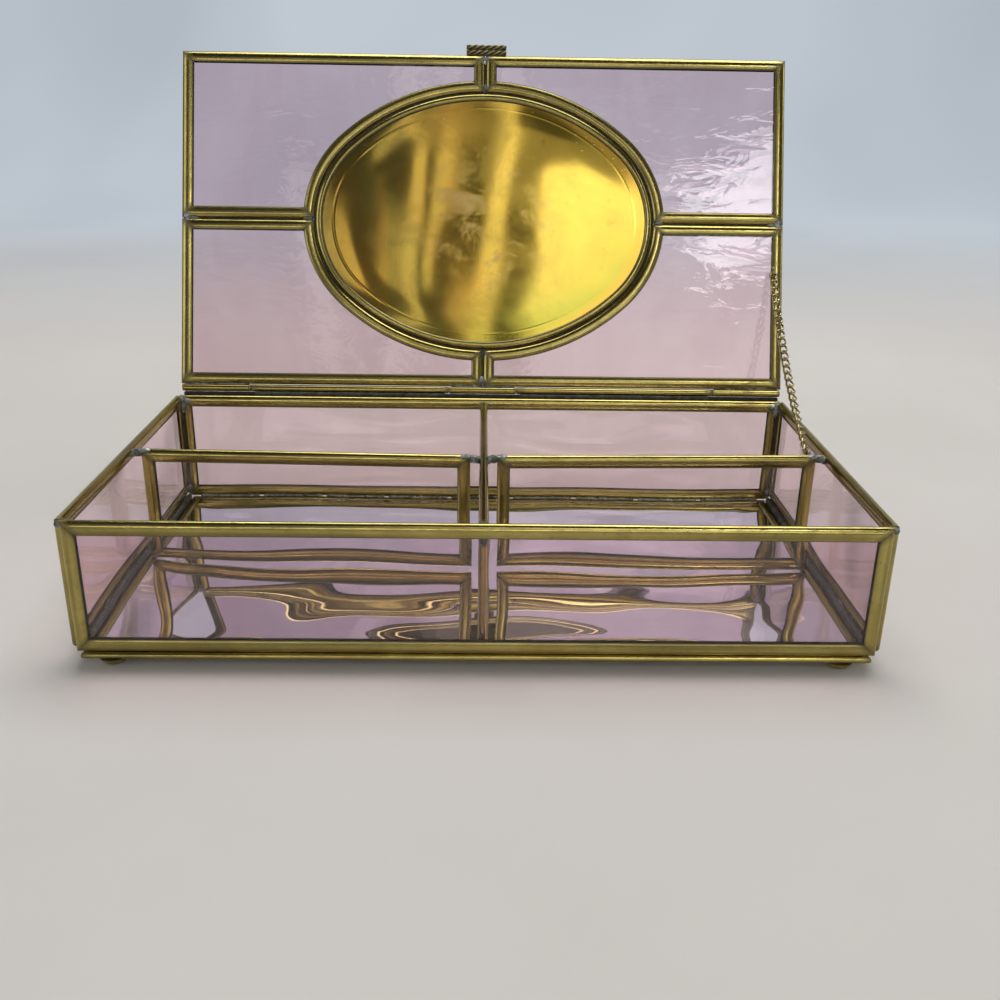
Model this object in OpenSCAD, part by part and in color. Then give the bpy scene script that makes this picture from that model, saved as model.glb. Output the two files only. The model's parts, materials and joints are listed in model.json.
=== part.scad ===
// Brass and glass casket box with four compartments and a tilting lid.
// All sizes in millimetres. X runs to the right, Y to the back, Z up.
// The lid is drawn open, leaning back against its stay chain.

/* [Walls] */
// Outer width of the box
box_w = 200; // [150:1:260]
// Outer depth of the box
box_d = 108; // [80:1:150]
// Height of the front and back frames
wall_h = 34.6; // [26:0.1:60]
// How much shorter the side frames are at the bottom
side_rise = 0.8; // [0:0.1:3]
// Gap between neighbouring frames at the open corners
corner_gap = 0.1; // [0.05:0.01:0.3]

/* [Brass came] */
// Width of the brass channel on its flat side
came_w = 3.6; // [3:0.1:6]
// Brass between the channel's round edge and its slot
came_back = 1.4; // [0.8:0.1:2]
// Thickness of each lip of the channel
came_lip = 0.3; // [0.2:0.05:0.6]
// Thickness of the glass and of the mirror
glass_t = 1.8; // [1:0.1:3]
// Clearance between the glass and each lip
glass_fit = 0.1; // [0.02:0.01:0.3]
// Clearance between the glass edge and the bottom of the slot
edge_fit = 0.2; // [0.05:0.05:0.6]

/* [Base] */
// Inset of the base frame from the front and back faces
base_inset = 0.6; // [0:0.1:2]
// Clearance between the base frame and the side frames
base_fit = 0.1; // [0.02:0.01:0.5]
// Height of the domed feet
foot_h = 2.3; // [1:0.1:6]
// Radius of a foot where it meets the base
foot_r = 3.8; // [3:0.1:6]
// Radius of the flat that a foot stands on
foot_flat_r = 1.5; // [0.5:0.1:2.5]
// How far a foot's edge stands in from the end of the base frame
foot_end_inset = 3.1; // [0:0.1:10]
// How far a foot's edge stands in from the front of the base frame
foot_side_inset = 0.1; // [0:0.1:3]

/* [Dividers] */
// How far the dividers end below the wall tops
divider_drop = 0.6; // [0:0.1:6]
// Clearance between the dividers and the base frame
divider_lift = 0.05; // [0.02:0.01:0.5]
// Sideways place of the centre divider
centre_divider_x = 0.9; // [-10:0.1:10]
// Gap at each end of the centre divider
centre_end_gap = 0.6; // [0.3:0.1:2]
// Gap at the outer ends of the cross dividers
outer_end_gap = 2.3; // [1:0.1:4]
// Gap at the inner ends of the cross dividers
inner_end_gap = 2.4; // [1:0.1:4]
// Place of the cross dividers from front to back
cross_divider_y = -0.8; // [-15:0.1:15]
// How far the inner ends of the cross dividers are turned to the front, in degrees
cross_skew = 1.85; // [0:0.05:4]

/* [Lid] */
// Width of the lid
lid_w = 197; // [150:1:260]
// Length of the lid from its hinge edge to its front edge
lid_l = 108; // [80:1:150]
// Sideways shift of the lid
lid_shift = 0.4; // [-1:0.1:1]
// How far the open lid leans back from upright, in degrees
lid_lean = 20.6; // [5:0.1:35]
// Gap between the closed lid and the wall tops
lid_gap = 0.45; // [0.35:0.05:1.5]
// Gap between two neighbouring lid frames
pair_gap = 0.2; // [0.1:0.05:0.6]
// Half width of the oval window at the lips of the frames around it
oval_a = 59; // [50:0.5:80]
// Half height of the oval window at the lips of the frames around it
oval_b = 45.5; // [42:0.5:48]
// Radius of the oval's rounded ends at those lips
oval_end_r = 37; // [30:0.5:40]
// Clearance between the oval rim and the frames around it
rim_fit = 0.2; // [0.1:0.05:0.6]
// Width of the oval rim
rim_w = 2.4; // [2:0.1:3]
// Brass between the rim's round edge and its slot
rim_back = 1.4; // [0.8:0.1:1.6]
// Thickness of the oval plate
plate_t = 0.8; // [0.5:0.1:1.5]
// Clearance between the oval plate and the rim
plate_fit = 0.1; // [0.05:0.05:0.3]

/* [Thumb piece] */
// Length of the rope thumb piece
thumb_l = 12.8; // [8:0.1:25]
// Outer radius of one rope
rope_r = 0.9; // [0.6:0.05:1.5]
// Gap between the ropes and the lid
rope_gap = 0.05; // [0.02:0.01:0.3]
// Sideways place of the thumb piece from the middle of the lid
thumb_x = 0.3; // [-20:0.1:20]
// Length of one full turn of the rope
rope_turn = 3.2; // [2:0.1:6]

/* [Hinge] */
// How far the hinge pin sits behind the back face
hinge_back = 1.6; // [1.3:0.1:4]
// Outer radius of the hinge tube
tube_r = 1.15; // [0.9:0.05:1.6]
// Radius of the hinge pin
pin_r = 0.6; // [0.4:0.05:0.7]
// Running clearance around the hinge pin
pin_fit = 0.05; // [0.02:0.01:0.1]
// Gap between the hinge tube and the lid's edge
hinge_gap = 0.12; // [0.1:0.01:0.4]
// How far the hinge tube ends inside the lid's sides
tube_inset = 0.5; // [0:0.1:5]
// Length of the two end knuckles on the lid
end_knuckle_l = 22.3; // [10:0.1:40]
// Length of the centre knuckle on the lid
mid_knuckle_l = 22; // [10:0.1:40]
// Gap between neighbouring knuckles
knuckle_gap = 0.3; // [0.1:0.05:1]
// How far the pin stays inside the ends of the tube
pin_inset = 0.3; // [0:0.1:2]

/* [Solder] */
// Clearance between solder and the brass it joins
solder_fit = 0.02; // [0.01:0.01:0.1]
// Width of a solder seam between two round edges
seam_w = 1.6; // [1:0.1:2.2]
// Width of the solder strip that carries the hinge on the box
strip_w = 1; // [0.6:0.1:1.2]
// Shift of that strip away from the lid
strip_shift = 0.4; // [0.3:0.05:0.8]
// Length of a solder spot on a lid seam
spot_l = 9; // [4:0.5:20]
// Width and height of the solder bars at the divider ends
bar_w = 1.8; // [1:0.1:2.4]
// Height of the solder run along the inside of the base
base_seam_h = 0.7; // [0.3:0.1:1.2]

/* [Stay chain] */
// Number of chain links
link_n = 26; // [20:1:32]
// Outer width of a link
link_w = 2.7; // [2.3:0.1:3.2]
// Radius of the link wire
wire_r = 0.33; // [0.25:0.01:0.4]
// Play between neighbouring links
link_play = 0.15; // [0.1:0.01:0.3]
// Sag of the chain at its middle
chain_sag = 3.7; // [1:0.1:6]
// Centreline radius of the two end rings
ring_r = 1.35; // [1.2:0.05:2]
// Wire radius of the two end rings
ring_wire_r = 0.4; // [0.3:0.05:0.5]
// Play between an end ring and the first link
ring_play = 0.08; // [0.05:0.01:0.15]
// Distance of the lid's ring from the lid's right edge
lid_ring_inset = 3.9; // [2:0.1:10]
// Distance of the lid's ring from the hinge pin
lid_ring_u = 39.5; // [25:0.1:60]
// Distance of the box's ring from the inside of the right wall
box_ring_inset = 3.9; // [3:0.1:10]
// How far the box's ring sits below the top of the divider
box_ring_drop = 1.3; // [0:0.1:4]

/* [Part to show] */

/* [Hidden] */
came_t = glass_t + 2 * (came_lip + glass_fit);
edge_r = came_t / 2;
nose_r = edge_r + 0.02;
slot_t = glass_t + 2 * glass_fit;
corner_step = (came_t + corner_gap) / sqrt(2);
wall_bottom = foot_h + came_t;
wall_top = wall_bottom + wall_h;
front_w = box_w - 2 * corner_step;
side_l = box_d - 2 * corner_step;
side_h = wall_h - side_rise;
inner_x = box_w / 2 - came_t;
inner_y = box_d / 2 - came_t;
base_w = 2 * (inner_x - base_fit);
base_d = box_d - 2 * base_inset;
foot_x = base_w / 2 - foot_end_inset - foot_r;
foot_y = base_d / 2 - foot_side_inset - foot_r;
foot_ball_z = (foot_r * foot_r - foot_flat_r * foot_flat_r + foot_h * foot_h) / (2 * foot_h);
foot_ball_r = sqrt(foot_flat_r * foot_flat_r + foot_ball_z * foot_ball_z);
divider_bottom = wall_bottom + divider_lift;
divider_top = wall_top - divider_drop;
divider_h = divider_top - divider_bottom;
centre_divider_l = 2 * (inner_y - centre_end_gap);
left_outer_x = -inner_x + outer_end_gap;
left_inner_x = centre_divider_x - edge_r - inner_end_gap;
right_inner_x = centre_divider_x + edge_r + inner_end_gap;
right_outer_x = inner_x - outer_end_gap;
hinge_y = box_d / 2 + hinge_back;
hinge_z = wall_top + lid_gap + edge_r;
lid_start = tube_r + hinge_gap;
lid_end = lid_start + lid_l;
oval_mid_u = lid_start + lid_l / 2;
oval_end_x = oval_a - oval_end_r;
oval_side_r = (oval_end_x * oval_end_x + oval_b * oval_b - oval_end_r * oval_end_r)
    / (2 * (oval_b - oval_end_r));
oval_side_y = oval_side_r - oval_b;
oval_turn = atan2(oval_side_y, oval_end_x);
oval_overlap = 0.05;
tube_l = lid_w - 2 * tube_inset;
box_knuckle_l = (tube_l - 2 * end_knuckle_l - mid_knuckle_l - 4 * knuckle_gap) / 2;
thumb_top = lid_end + rope_gap + 4 * rope_r;
thumb_mid = thumb_top - rope_r;
reach_back = hinge_y + thumb_mid * sin(lid_lean) + rope_r;
origin_y = (reach_back - box_d / 2) / 2;
plate_slot = plate_t + 2 * plate_fit;
rim_tip = came_w + rim_fit;
link_bend_r = link_w / 2 - wire_r;
right_mid_x = (right_inner_x + right_outer_x) / 2;
ring_reach = ring_r + ring_wire_r;
box_ring_x = inner_x - box_ring_inset;
box_ring_y = cross_divider_y + (box_ring_x - right_mid_x) * tan(cross_skew) + edge_r / cos(cross_skew)
    + ring_reach + ring_play;
box_ring_z = divider_top - box_ring_drop;
lid_ring_x = lid_w / 2 - lid_ring_inset;
lid_ring_w = edge_r + ring_reach + ring_play;
lid_ring_y = hinge_y + lid_ring_u * sin(lid_lean) - lid_ring_w * cos(lid_lean);
lid_ring_z = hinge_z + lid_ring_u * cos(lid_lean) + lid_ring_w * sin(lid_lean);
chain_dx = lid_shift + lid_ring_x - box_ring_x;
chain_dy = lid_ring_y - box_ring_y;
chain_dz = lid_ring_z - box_ring_z;
chain_run = sqrt(chain_dx * chain_dx + chain_dy * chain_dy + chain_dz * chain_dz);
chain_rise = asin(chain_dz / chain_run);
chain_turn = atan2(chain_dx, chain_dy);
ring_grip = ring_r - ring_wire_r - wire_r - ring_play;
link_pitch = (chain_run - 2 * ring_grip - 2 * wire_r - link_play) / link_n;
link_turn = 90 + 90 * ((link_n - 1) % 2) / (link_n - 1);
link_bar_half = round(50 * (link_pitch + 2 * wire_r + link_play - 2 * link_bend_r)) / 100;
cut = 1;
smooth = 96;

brass = [0.72, 0.6, 0.28];
gold = [0.8, 0.64, 0.28];
pink = [0.85, 0.66, 0.76, 0.5];
silver = [0.82, 0.82, 0.84];
grey = [0.6, 0.61, 0.58];

// A bar along X with two round edges, h wide, centred.
module round_bar(l, h) {
    rotate([90, 0, 90])
        linear_extrude(height = l, center = true)
            intersection() {
                union() {
                    square([h - came_t, came_t], center = true);
                    for (side = [-1, 1])
                        translate([side * (h / 2 - nose_r), 0])
                            circle(r = nose_r, $fn = smooth);
                }
                square([h, came_t], center = true);
            }
}

// A blank w by h, round on all four edges, centred.
module round_blank(w, h) {
    intersection() {
        round_bar(w + 2 * cut, h);
        rotate([0, 0, 90])
            round_bar(h + 2 * cut, w);
    }
}

// A mitred loop of came around a window, centred.
module came_loop(w, h) {
    difference() {
        round_blank(w, h);
        cube([w - 2 * came_back, h - 2 * came_back, slot_t], center = true);
        cube([w - 2 * came_w, h - 2 * came_w, came_t + 2 * cut], center = true);
    }
}

// The glass that fills such a loop.
module glass_fill(w, h) {
    margin = 2 * (came_back + edge_fit);
    cube([w - margin, h - margin, glass_t], center = true);
}

// Stands a loop or its glass up, with its width along X.
module stand() {
    rotate([90, 0, 0])
        children();
}

// The part of a flat side's disc that lies between the round ends.
module oval_band(margin, t) {
    cube([2 * (oval_end_x + (oval_end_r + margin) * cos(oval_turn)), 2 * oval_side_r, t], center = true);
}

// What a lid frame loses to one arc of the oval, leaving a round edge there.
module arc_bite(r) {
    mid = r - came_w + nose_r;
    rotate_extrude($fn = smooth)
        difference() {
            translate([0, -edge_r - cut])
                square([mid, came_t + 2 * cut]);
            translate([mid, 0])
                circle(r = nose_r, $fn = smooth);
        }
}

// What the first quarter loses to the oval.
module oval_bite() {
    translate([oval_end_x, 0, 0])
        arc_bite(oval_end_r + oval_overlap);
    intersection() {
        translate([0, -oval_side_y, 0])
            arc_bite(oval_side_r);
        oval_band(edge_r / 2 - came_w, came_t + 2 * cut);
    }
}

// A flat oval, grown by margin from the lips of the frames around it.
module flat_oval(margin, t) {
    for (x_side = [-1, 1])
        translate([x_side * oval_end_x, 0, 0])
            cylinder(r = oval_end_r + oval_overlap + margin, h = t, center = true, $fn = smooth);
    intersection() {
        for_side(1)
            cylinder(r = oval_side_r + margin, h = t, center = true, $fn = smooth);
        for_side(-1)
            cylinder(r = oval_side_r + margin, h = t, center = true, $fn = smooth);
        oval_band(margin, t + cut);
    }
}

module for_side(way) {
    translate([0, way * oval_side_y, 0])
        children();
}

// One lid frame in the first quarter, its origin in the middle of the lid.
module quarter_frame() {
    w = (lid_w - pair_gap) / 2;
    h = (lid_l - pair_gap) / 2;
    mid = [(pair_gap + w) / 2, (pair_gap + h) / 2, 0];
    difference() {
        translate(mid)
            round_blank(w, h);
        oval_bite();
        difference() {
            translate(mid)
                cube([w - 2 * came_back, h - 2 * came_back, slot_t], center = true);
            flat_oval(came_back - came_w, came_t);
        }
        difference() {
            translate(mid)
                cube([w - 2 * came_w, h - 2 * came_w, came_t + 2 * cut], center = true);
            flat_oval(0, came_t + 3 * cut);
        }
    }
}

module quarter_pane() {
    w = (lid_w - pair_gap) / 2;
    h = (lid_l - pair_gap) / 2;
    margin = 2 * (came_back + edge_fit);
    difference() {
        translate([(pair_gap + w) / 2, (pair_gap + h) / 2, 0])
            cube([w - margin, h - margin, glass_t], center = true);
        flat_oval(came_back + edge_fit - came_w, came_t);
    }
}

// Everything on the lid is drawn flat, X across and Y away from the pin.
module on_lid() {
    translate([lid_shift, hinge_y - origin_y, hinge_z])
        rotate([90 - lid_lean, 0, 0])
            children();
}

module lid_quarter(x_side, y_side) {
    on_lid()
        translate([0, oval_mid_u, 0])
            scale([x_side, y_side, 1])
                children();
}

// Solder that fills the valleys between two round bars whose centres lie
// gap apart along X, drawn upward from the origin.
module seam(l, gap, r_a, r_b) {
    difference() {
        translate([0, -seam_w / 2, 0])
            cube([gap, seam_w, l]);
        translate([0, 0, -cut])
            cylinder(r = r_a + solder_fit, h = l + 2 * cut, $fn = smooth);
        translate([gap, 0, -cut])
            cylinder(r = r_b + solder_fit, h = l + 2 * cut, $fn = smooth);
    }
}

module on_box() {
    translate([0, -origin_y, 0])
        children();
}

module base_frame() {
    color(brass)
        on_box()
            translate([0, 0, foot_h + edge_r])
                came_loop(base_w, base_d);
}

module base_mirror() {
    color(silver)
        on_box()
            translate([0, 0, foot_h + edge_r])
                glass_fill(base_w, base_d);
}

module feet() {
    color(brass)
        on_box()
            for (x_side = [-1, 1], y_side = [-1, 1])
                translate([x_side * foot_x, y_side * foot_y, 0])
                    intersection() {
                        translate([0, 0, foot_ball_z])
                            sphere(r = foot_ball_r, $fn = smooth);
                        cylinder(r = foot_r + cut, h = foot_h, $fn = smooth);
                    }
}

module at_front(y_side) {
    on_box()
        translate([0, y_side * (box_d / 2 - edge_r), wall_bottom + wall_h / 2])
            stand()
                children();
}

module at_side(x_side) {
    on_box()
        translate([x_side * (box_w / 2 - edge_r), 0, wall_bottom + side_rise + side_h / 2])
            rotate([0, 0, 90])
                stand()
                    children();
}

module front_frame() {
    color(brass)
        at_front(-1)
            came_loop(front_w, wall_h);
}

module front_pane() {
    color(pink)
        at_front(-1)
            glass_fill(front_w, wall_h);
}

module back_frame() {
    color(brass)
        at_front(1)
            came_loop(front_w, wall_h);
}

module back_pane() {
    color(pink)
        at_front(1)
            glass_fill(front_w, wall_h);
}

module left_frame() {
    color(brass)
        at_side(-1)
            came_loop(side_l, side_h);
}

module left_pane() {
    color(pink)
        at_side(-1)
            glass_fill(side_l, side_h);
}

module right_frame() {
    color(brass)
        at_side(1)
            came_loop(side_l, side_h);
}

module right_pane() {
    color(pink)
        at_side(1)
            glass_fill(side_l, side_h);
}

module at_centre_divider() {
    on_box()
        translate([centre_divider_x, 0, divider_bottom + divider_h / 2])
            rotate([0, 0, 90])
                stand()
                    children();
}

module centre_divider_frame() {
    color(brass)
        at_centre_divider()
            came_loop(centre_divider_l, divider_h);
}

module centre_divider_pane() {
    color(pink)
        at_centre_divider()
            glass_fill(centre_divider_l, divider_h);
}

// A cross divider runs between two x places, turned about its middle.
module at_cross(x_a, x_b, turn) {
    on_box()
        translate([(x_a + x_b) / 2, cross_divider_y, divider_bottom + divider_h / 2])
            rotate([0, 0, turn])
                children();
}

module left_divider_frame() {
    color(brass)
        at_cross(left_outer_x, left_inner_x, -cross_skew)
            stand()
                came_loop(left_inner_x - left_outer_x, divider_h);
}

module left_divider_pane() {
    color(pink)
        at_cross(left_outer_x, left_inner_x, -cross_skew)
            stand()
                glass_fill(left_inner_x - left_outer_x, divider_h);
}

module right_divider_frame() {
    color(brass)
        at_cross(right_inner_x, right_outer_x, cross_skew)
            stand()
                came_loop(right_outer_x - right_inner_x, divider_h);
}

module right_divider_pane() {
    color(pink)
        at_cross(right_inner_x, right_outer_x, cross_skew)
            stand()
                glass_fill(right_outer_x - right_inner_x, divider_h);
}

// Beads in the open corners, between the round ends of the wall frames.
module corner_solder() {
    color(grey)
        on_box()
            for (x_side = [-1, 1], y_side = [-1, 1])
                scale([x_side, y_side, 1])
                    translate([front_w / 2 - edge_r, box_d / 2 - edge_r, wall_bottom + side_rise + edge_r])
                        rotate([0, 0, -45])
                            seam(side_h - 2 * edge_r, came_t + corner_gap, edge_r, edge_r);
}

// Runs along the foot of the front and back frames, inside the box.
module base_solder() {
    color(grey)
        on_box()
            for (y_side = [-1, 1])
                scale([1, y_side, 1])
                    difference() {
                        translate([-front_w / 2 + came_w, inner_y, wall_bottom + solder_fit])
                            cube([front_w - 2 * came_w, edge_r, base_seam_h]);
                        translate([0, box_d / 2 - edge_r, wall_bottom + edge_r])
                            rotate([0, 90, 0])
                                cylinder(r = edge_r + solder_fit, h = front_w, center = true, $fn = smooth);
                    }
}

// A bar from the round end of a divider to the flat face at x_to.
module end_bar(x_end, x_to, mid_x, turn) {
    way = sign(x_to - x_end);
    reach = abs(x_to - x_end);
    intersection() {
        translate([mid_x, cross_divider_y, 0])
            rotate([0, 0, turn])
                translate([-mid_x, 0, 0])
                    difference() {
                        translate([x_end + way * reach / 2, 0, divider_top - edge_r - bar_w / 2])
                            cube([reach + 2 * edge_r, bar_w, bar_w], center = true);
                        translate([x_end - way * edge_r, 0, divider_top - edge_r - 2 * bar_w])
                            cylinder(r = edge_r + solder_fit, h = 4 * bar_w, $fn = smooth);
                        translate([x_end - way * (edge_r + box_w / 2), 0, divider_top])
                            cube([box_w, came_t + cut, 4 * bar_w], center = true);
                    }
        translate([x_to - way * (solder_fit + box_w / 2), 0, divider_top])
            cube([box_w, box_d, divider_h], center = true);
    }
}

module divider_solder() {
    left_mid_x = (left_outer_x + left_inner_x) / 2;
    color(grey)
        on_box() {
            end_bar(left_outer_x, -inner_x, left_mid_x, -cross_skew);
            end_bar(left_inner_x, centre_divider_x - edge_r, left_mid_x, -cross_skew);
            end_bar(right_inner_x, centre_divider_x + edge_r, right_mid_x, cross_skew);
            end_bar(right_outer_x, inner_x, right_mid_x, cross_skew);
            for (y_side = [-1, 1])
                scale([1, y_side, 1])
                    difference() {
                        translate([centre_divider_x, inner_y - centre_end_gap, divider_top - edge_r])
                            translate([0, (centre_end_gap - edge_r) / 2 - solder_fit, -bar_w / 2])
                                cube([bar_w, centre_end_gap + edge_r, bar_w], center = true);
                        translate([centre_divider_x, inner_y - centre_end_gap - edge_r, divider_bottom])
                            cylinder(r = edge_r + solder_fit, h = divider_h, $fn = smooth);
                        translate([centre_divider_x, inner_y - centre_end_gap - edge_r - box_d / 2, divider_top])
                            cube([came_t + cut, box_d, 4 * bar_w], center = true);
                    }
        }
}

// A piece of hinge tube along X, its near end at x.
module tube(x, l) {
    translate([x, 0, 0])
        rotate([0, 90, 0])
            difference() {
                cylinder(r = tube_r, h = l, $fn = smooth);
                translate([0, 0, -cut])
                    cylinder(r = pin_r + pin_fit, h = l + 2 * cut, $fn = smooth);
            }
}

module at_pin() {
    translate([lid_shift, hinge_y - origin_y, hinge_z])
        children();
}

module box_knuckles() {
    color(brass)
        at_pin()
            for (x_start = [-tube_l / 2 + end_knuckle_l + knuckle_gap, mid_knuckle_l / 2 + knuckle_gap])
                tube(x_start, box_knuckle_l);
}

module hinge_pin() {
    color(brass)
        at_pin()
            rotate([0, 90, 0])
                cylinder(r = pin_r, h = tube_l - 2 * pin_inset, center = true, $fn = smooth);
}

// Strips that join the box's knuckles to the back frame.
module box_hinge_solder() {
    drop = lid_gap + 2 * edge_r;
    back = hinge_back + edge_r;
    reach = sqrt(drop * drop + back * back);
    lean = atan2(drop, back);
    color(grey)
        at_pin()
            for (x_start = [-tube_l / 2 + end_knuckle_l + knuckle_gap, mid_knuckle_l / 2 + knuckle_gap])
                difference() {
                    translate([x_start, 0, 0])
                        rotate([lean, 0, 0])
                            translate([0, -reach, -strip_shift - strip_w / 2])
                                cube([box_knuckle_l, reach, strip_w]);
                    rotate([0, 90, 0])
                        cylinder(r = tube_r + solder_fit, h = box_w, center = true, $fn = smooth);
                    translate([0, -back, -drop])
                        rotate([0, 90, 0])
                            cylinder(r = edge_r + solder_fit, h = box_w, center = true, $fn = smooth);
                }
}

module lid_knuckles() {
    color(brass)
        at_pin() {
            tube(-tube_l / 2, end_knuckle_l);
            tube(-mid_knuckle_l / 2, mid_knuckle_l);
            tube(tube_l / 2 - end_knuckle_l, end_knuckle_l);
        }
}

module lid_hinge_solder() {
    color(grey)
        on_lid() {
            translate([-tube_l / 2, 0, 0])
                hinge_seam(end_knuckle_l);
            translate([-mid_knuckle_l / 2, 0, 0])
                hinge_seam(mid_knuckle_l);
            translate([tube_l / 2 - end_knuckle_l, 0, 0])
                hinge_seam(end_knuckle_l);
        }
}

module hinge_seam(l) {
    rotate([0, 90, 0])
        rotate([0, 0, 90])
            seam(l, lid_start + edge_r, tube_r, edge_r);
}

// A ring of wire standing in a plane across X.
module wire_ring() {
    rotate([0, 90, 0])
        rotate_extrude($fn = smooth)
            translate([ring_r, 0])
                circle(r = ring_wire_r, $fn = smooth);
}

module box_chain_ring() {
    color(brass)
        on_box()
            translate([box_ring_x, box_ring_y, box_ring_z])
                wire_ring();
}

module lid_chain_ring() {
    color(brass)
        on_lid()
            translate([lid_ring_x, lid_ring_u, lid_ring_w])
                wire_ring();
}

// One chain link, long along Y.
module chain_link() {
    for (way = [0, 180])
        rotate([0, 0, way])
            translate([0, link_bar_half, 0])
                rotate_extrude(angle = 180, $fn = smooth)
                    translate([link_bend_r, 0])
                        circle(r = wire_r, $fn = smooth);
    for (side = [-1, 1])
        translate([side * link_bend_r, 0, 0])
            rotate([90, 0, 0])
                cylinder(r = wire_r, h = 2 * link_bar_half, center = true, $fn = smooth);
}

// Links in equal steps along a shallow bow, each about a quarter turn on the
// last, so that the first and the last lie across the end rings.
module stay_chain() {
    start = ring_grip + (link_pitch + 2 * wire_r + link_play) / 2;
    color(brass)
        on_box()
            translate([box_ring_x, box_ring_y, box_ring_z])
                rotate([0, 0, -chain_turn])
                    rotate([chain_rise, 0, 0])
                        for (i = [0:link_n - 1]) {
                            along = start + i * link_pitch;
                            part = along / chain_run;
                            translate([0, along, -4 * chain_sag * part * (1 - part)])
                                rotate([atan(-4 * chain_sag * (1 - 2 * part) / chain_run), 0, 0])
                                    rotate([0, i * link_turn, 0])
                                        chain_link();
                        }
}

module lid_front_left_frame() {
    color(brass)
        lid_quarter(-1, 1)
            quarter_frame();
}

module lid_front_left_pane() {
    color(pink)
        lid_quarter(-1, 1)
            quarter_pane();
}

module lid_front_right_frame() {
    color(brass)
        lid_quarter(1, 1)
            quarter_frame();
}

module lid_front_right_pane() {
    color(pink)
        lid_quarter(1, 1)
            quarter_pane();
}

module lid_back_left_frame() {
    color(brass)
        lid_quarter(-1, -1)
            quarter_frame();
}

module lid_back_left_pane() {
    color(pink)
        lid_quarter(-1, -1)
            quarter_pane();
}

module lid_back_right_frame() {
    color(brass)
        lid_quarter(1, -1)
            quarter_frame();
}

module lid_back_right_pane() {
    color(pink)
        lid_quarter(1, -1)
            quarter_pane();
}

// A disc with a round edge.
module round_disc(r) {
    rotate_extrude($fn = smooth)
        intersection() {
            union() {
                translate([0, -edge_r])
                    square([r - edge_r, came_t]);
                translate([r - nose_r, 0])
                    circle(r = nose_r, $fn = smooth);
            }
            translate([0, -edge_r])
                square([r, came_t]);
        }
}

module oval_rim() {
    color(brass)
        on_lid()
            translate([0, oval_mid_u, 0])
                difference() {
                    union() {
                        for (x_side = [-1, 1])
                            translate([x_side * oval_end_x, 0, 0])
                                round_disc(oval_end_r + oval_overlap - rim_tip);
                        intersection() {
                            for_side(1)
                                round_disc(oval_side_r - rim_tip);
                            for_side(-1)
                                round_disc(oval_side_r - rim_tip);
                            oval_band(-rim_tip, came_t + cut);
                        }
                    }
                    flat_oval(-rim_tip - rim_back, plate_slot);
                    flat_oval(-rim_tip - rim_w, came_t + 2 * cut);
                }
}

module oval_plate() {
    color(gold)
        on_lid()
            translate([0, oval_mid_u, 0])
                flat_oval(-rim_tip - rim_back - edge_fit, plate_t);
}

// Solder spots where neighbouring lid frames meet.
module lid_solder() {
    gap = came_t + pair_gap;
    side_x = lid_w / 2 - came_w;
    top_y = lid_l / 2 - came_w;
    color(grey)
        on_lid()
            translate([0, oval_mid_u, 0]) {
                for (x_side = [-1, 1])
                    for (x_start = [oval_a, side_x - spot_l])
                        scale([x_side, 1, 1])
                            translate([x_start, -gap / 2, 0])
                                rotate([0, 90, 0])
                                    rotate([0, 0, 90])
                                        seam(spot_l, gap, edge_r, edge_r);
                for (y_side = [-1, 1])
                    scale([1, y_side, 1])
                        translate([-gap / 2, top_y, 0])
                            rotate([90, 0, 0])
                                seam(top_y - oval_b, gap, edge_r, edge_r);
            }
}

module rope(l) {
    strand = rope_r * 0.55;
    rotate([0, 90, 0])
        linear_extrude(height = l, center = true, twist = 360 * l / rope_turn, slices = 32)
            for (side = [-1, 1])
                translate([side * (rope_r - strand), 0])
                    circle(r = strand, $fn = 8);
}

// Two rows of twisted wire on the lid's front edge.
module thumb_rope() {
    color(brass)
        on_lid()
            for (row = [3, 1])
                translate([thumb_x, thumb_top - row * rope_r, 0])
                    rope(thumb_l);
}

base_frame();
base_mirror();
feet();
front_frame();
front_pane();
back_frame();
back_pane();
left_frame();
left_pane();
right_frame();
right_pane();
centre_divider_frame();
centre_divider_pane();
left_divider_frame();
left_divider_pane();
right_divider_frame();
right_divider_pane();
corner_solder();
base_solder();
divider_solder();
box_knuckles();
hinge_pin();
box_hinge_solder();
box_chain_ring();
stay_chain();
lid_front_left_frame();
lid_front_left_pane();
lid_front_right_frame();
lid_front_right_pane();
lid_back_left_frame();
lid_back_left_pane();
lid_back_right_frame();
lid_back_right_pane();
oval_rim();
oval_plate();
lid_solder();
lid_knuckles();
lid_hinge_solder();
lid_chain_ring();
thumb_rope();
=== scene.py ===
import json
import math

import bmesh
import bpy
from mathutils import Matrix, Quaternion, Vector, noise


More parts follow.
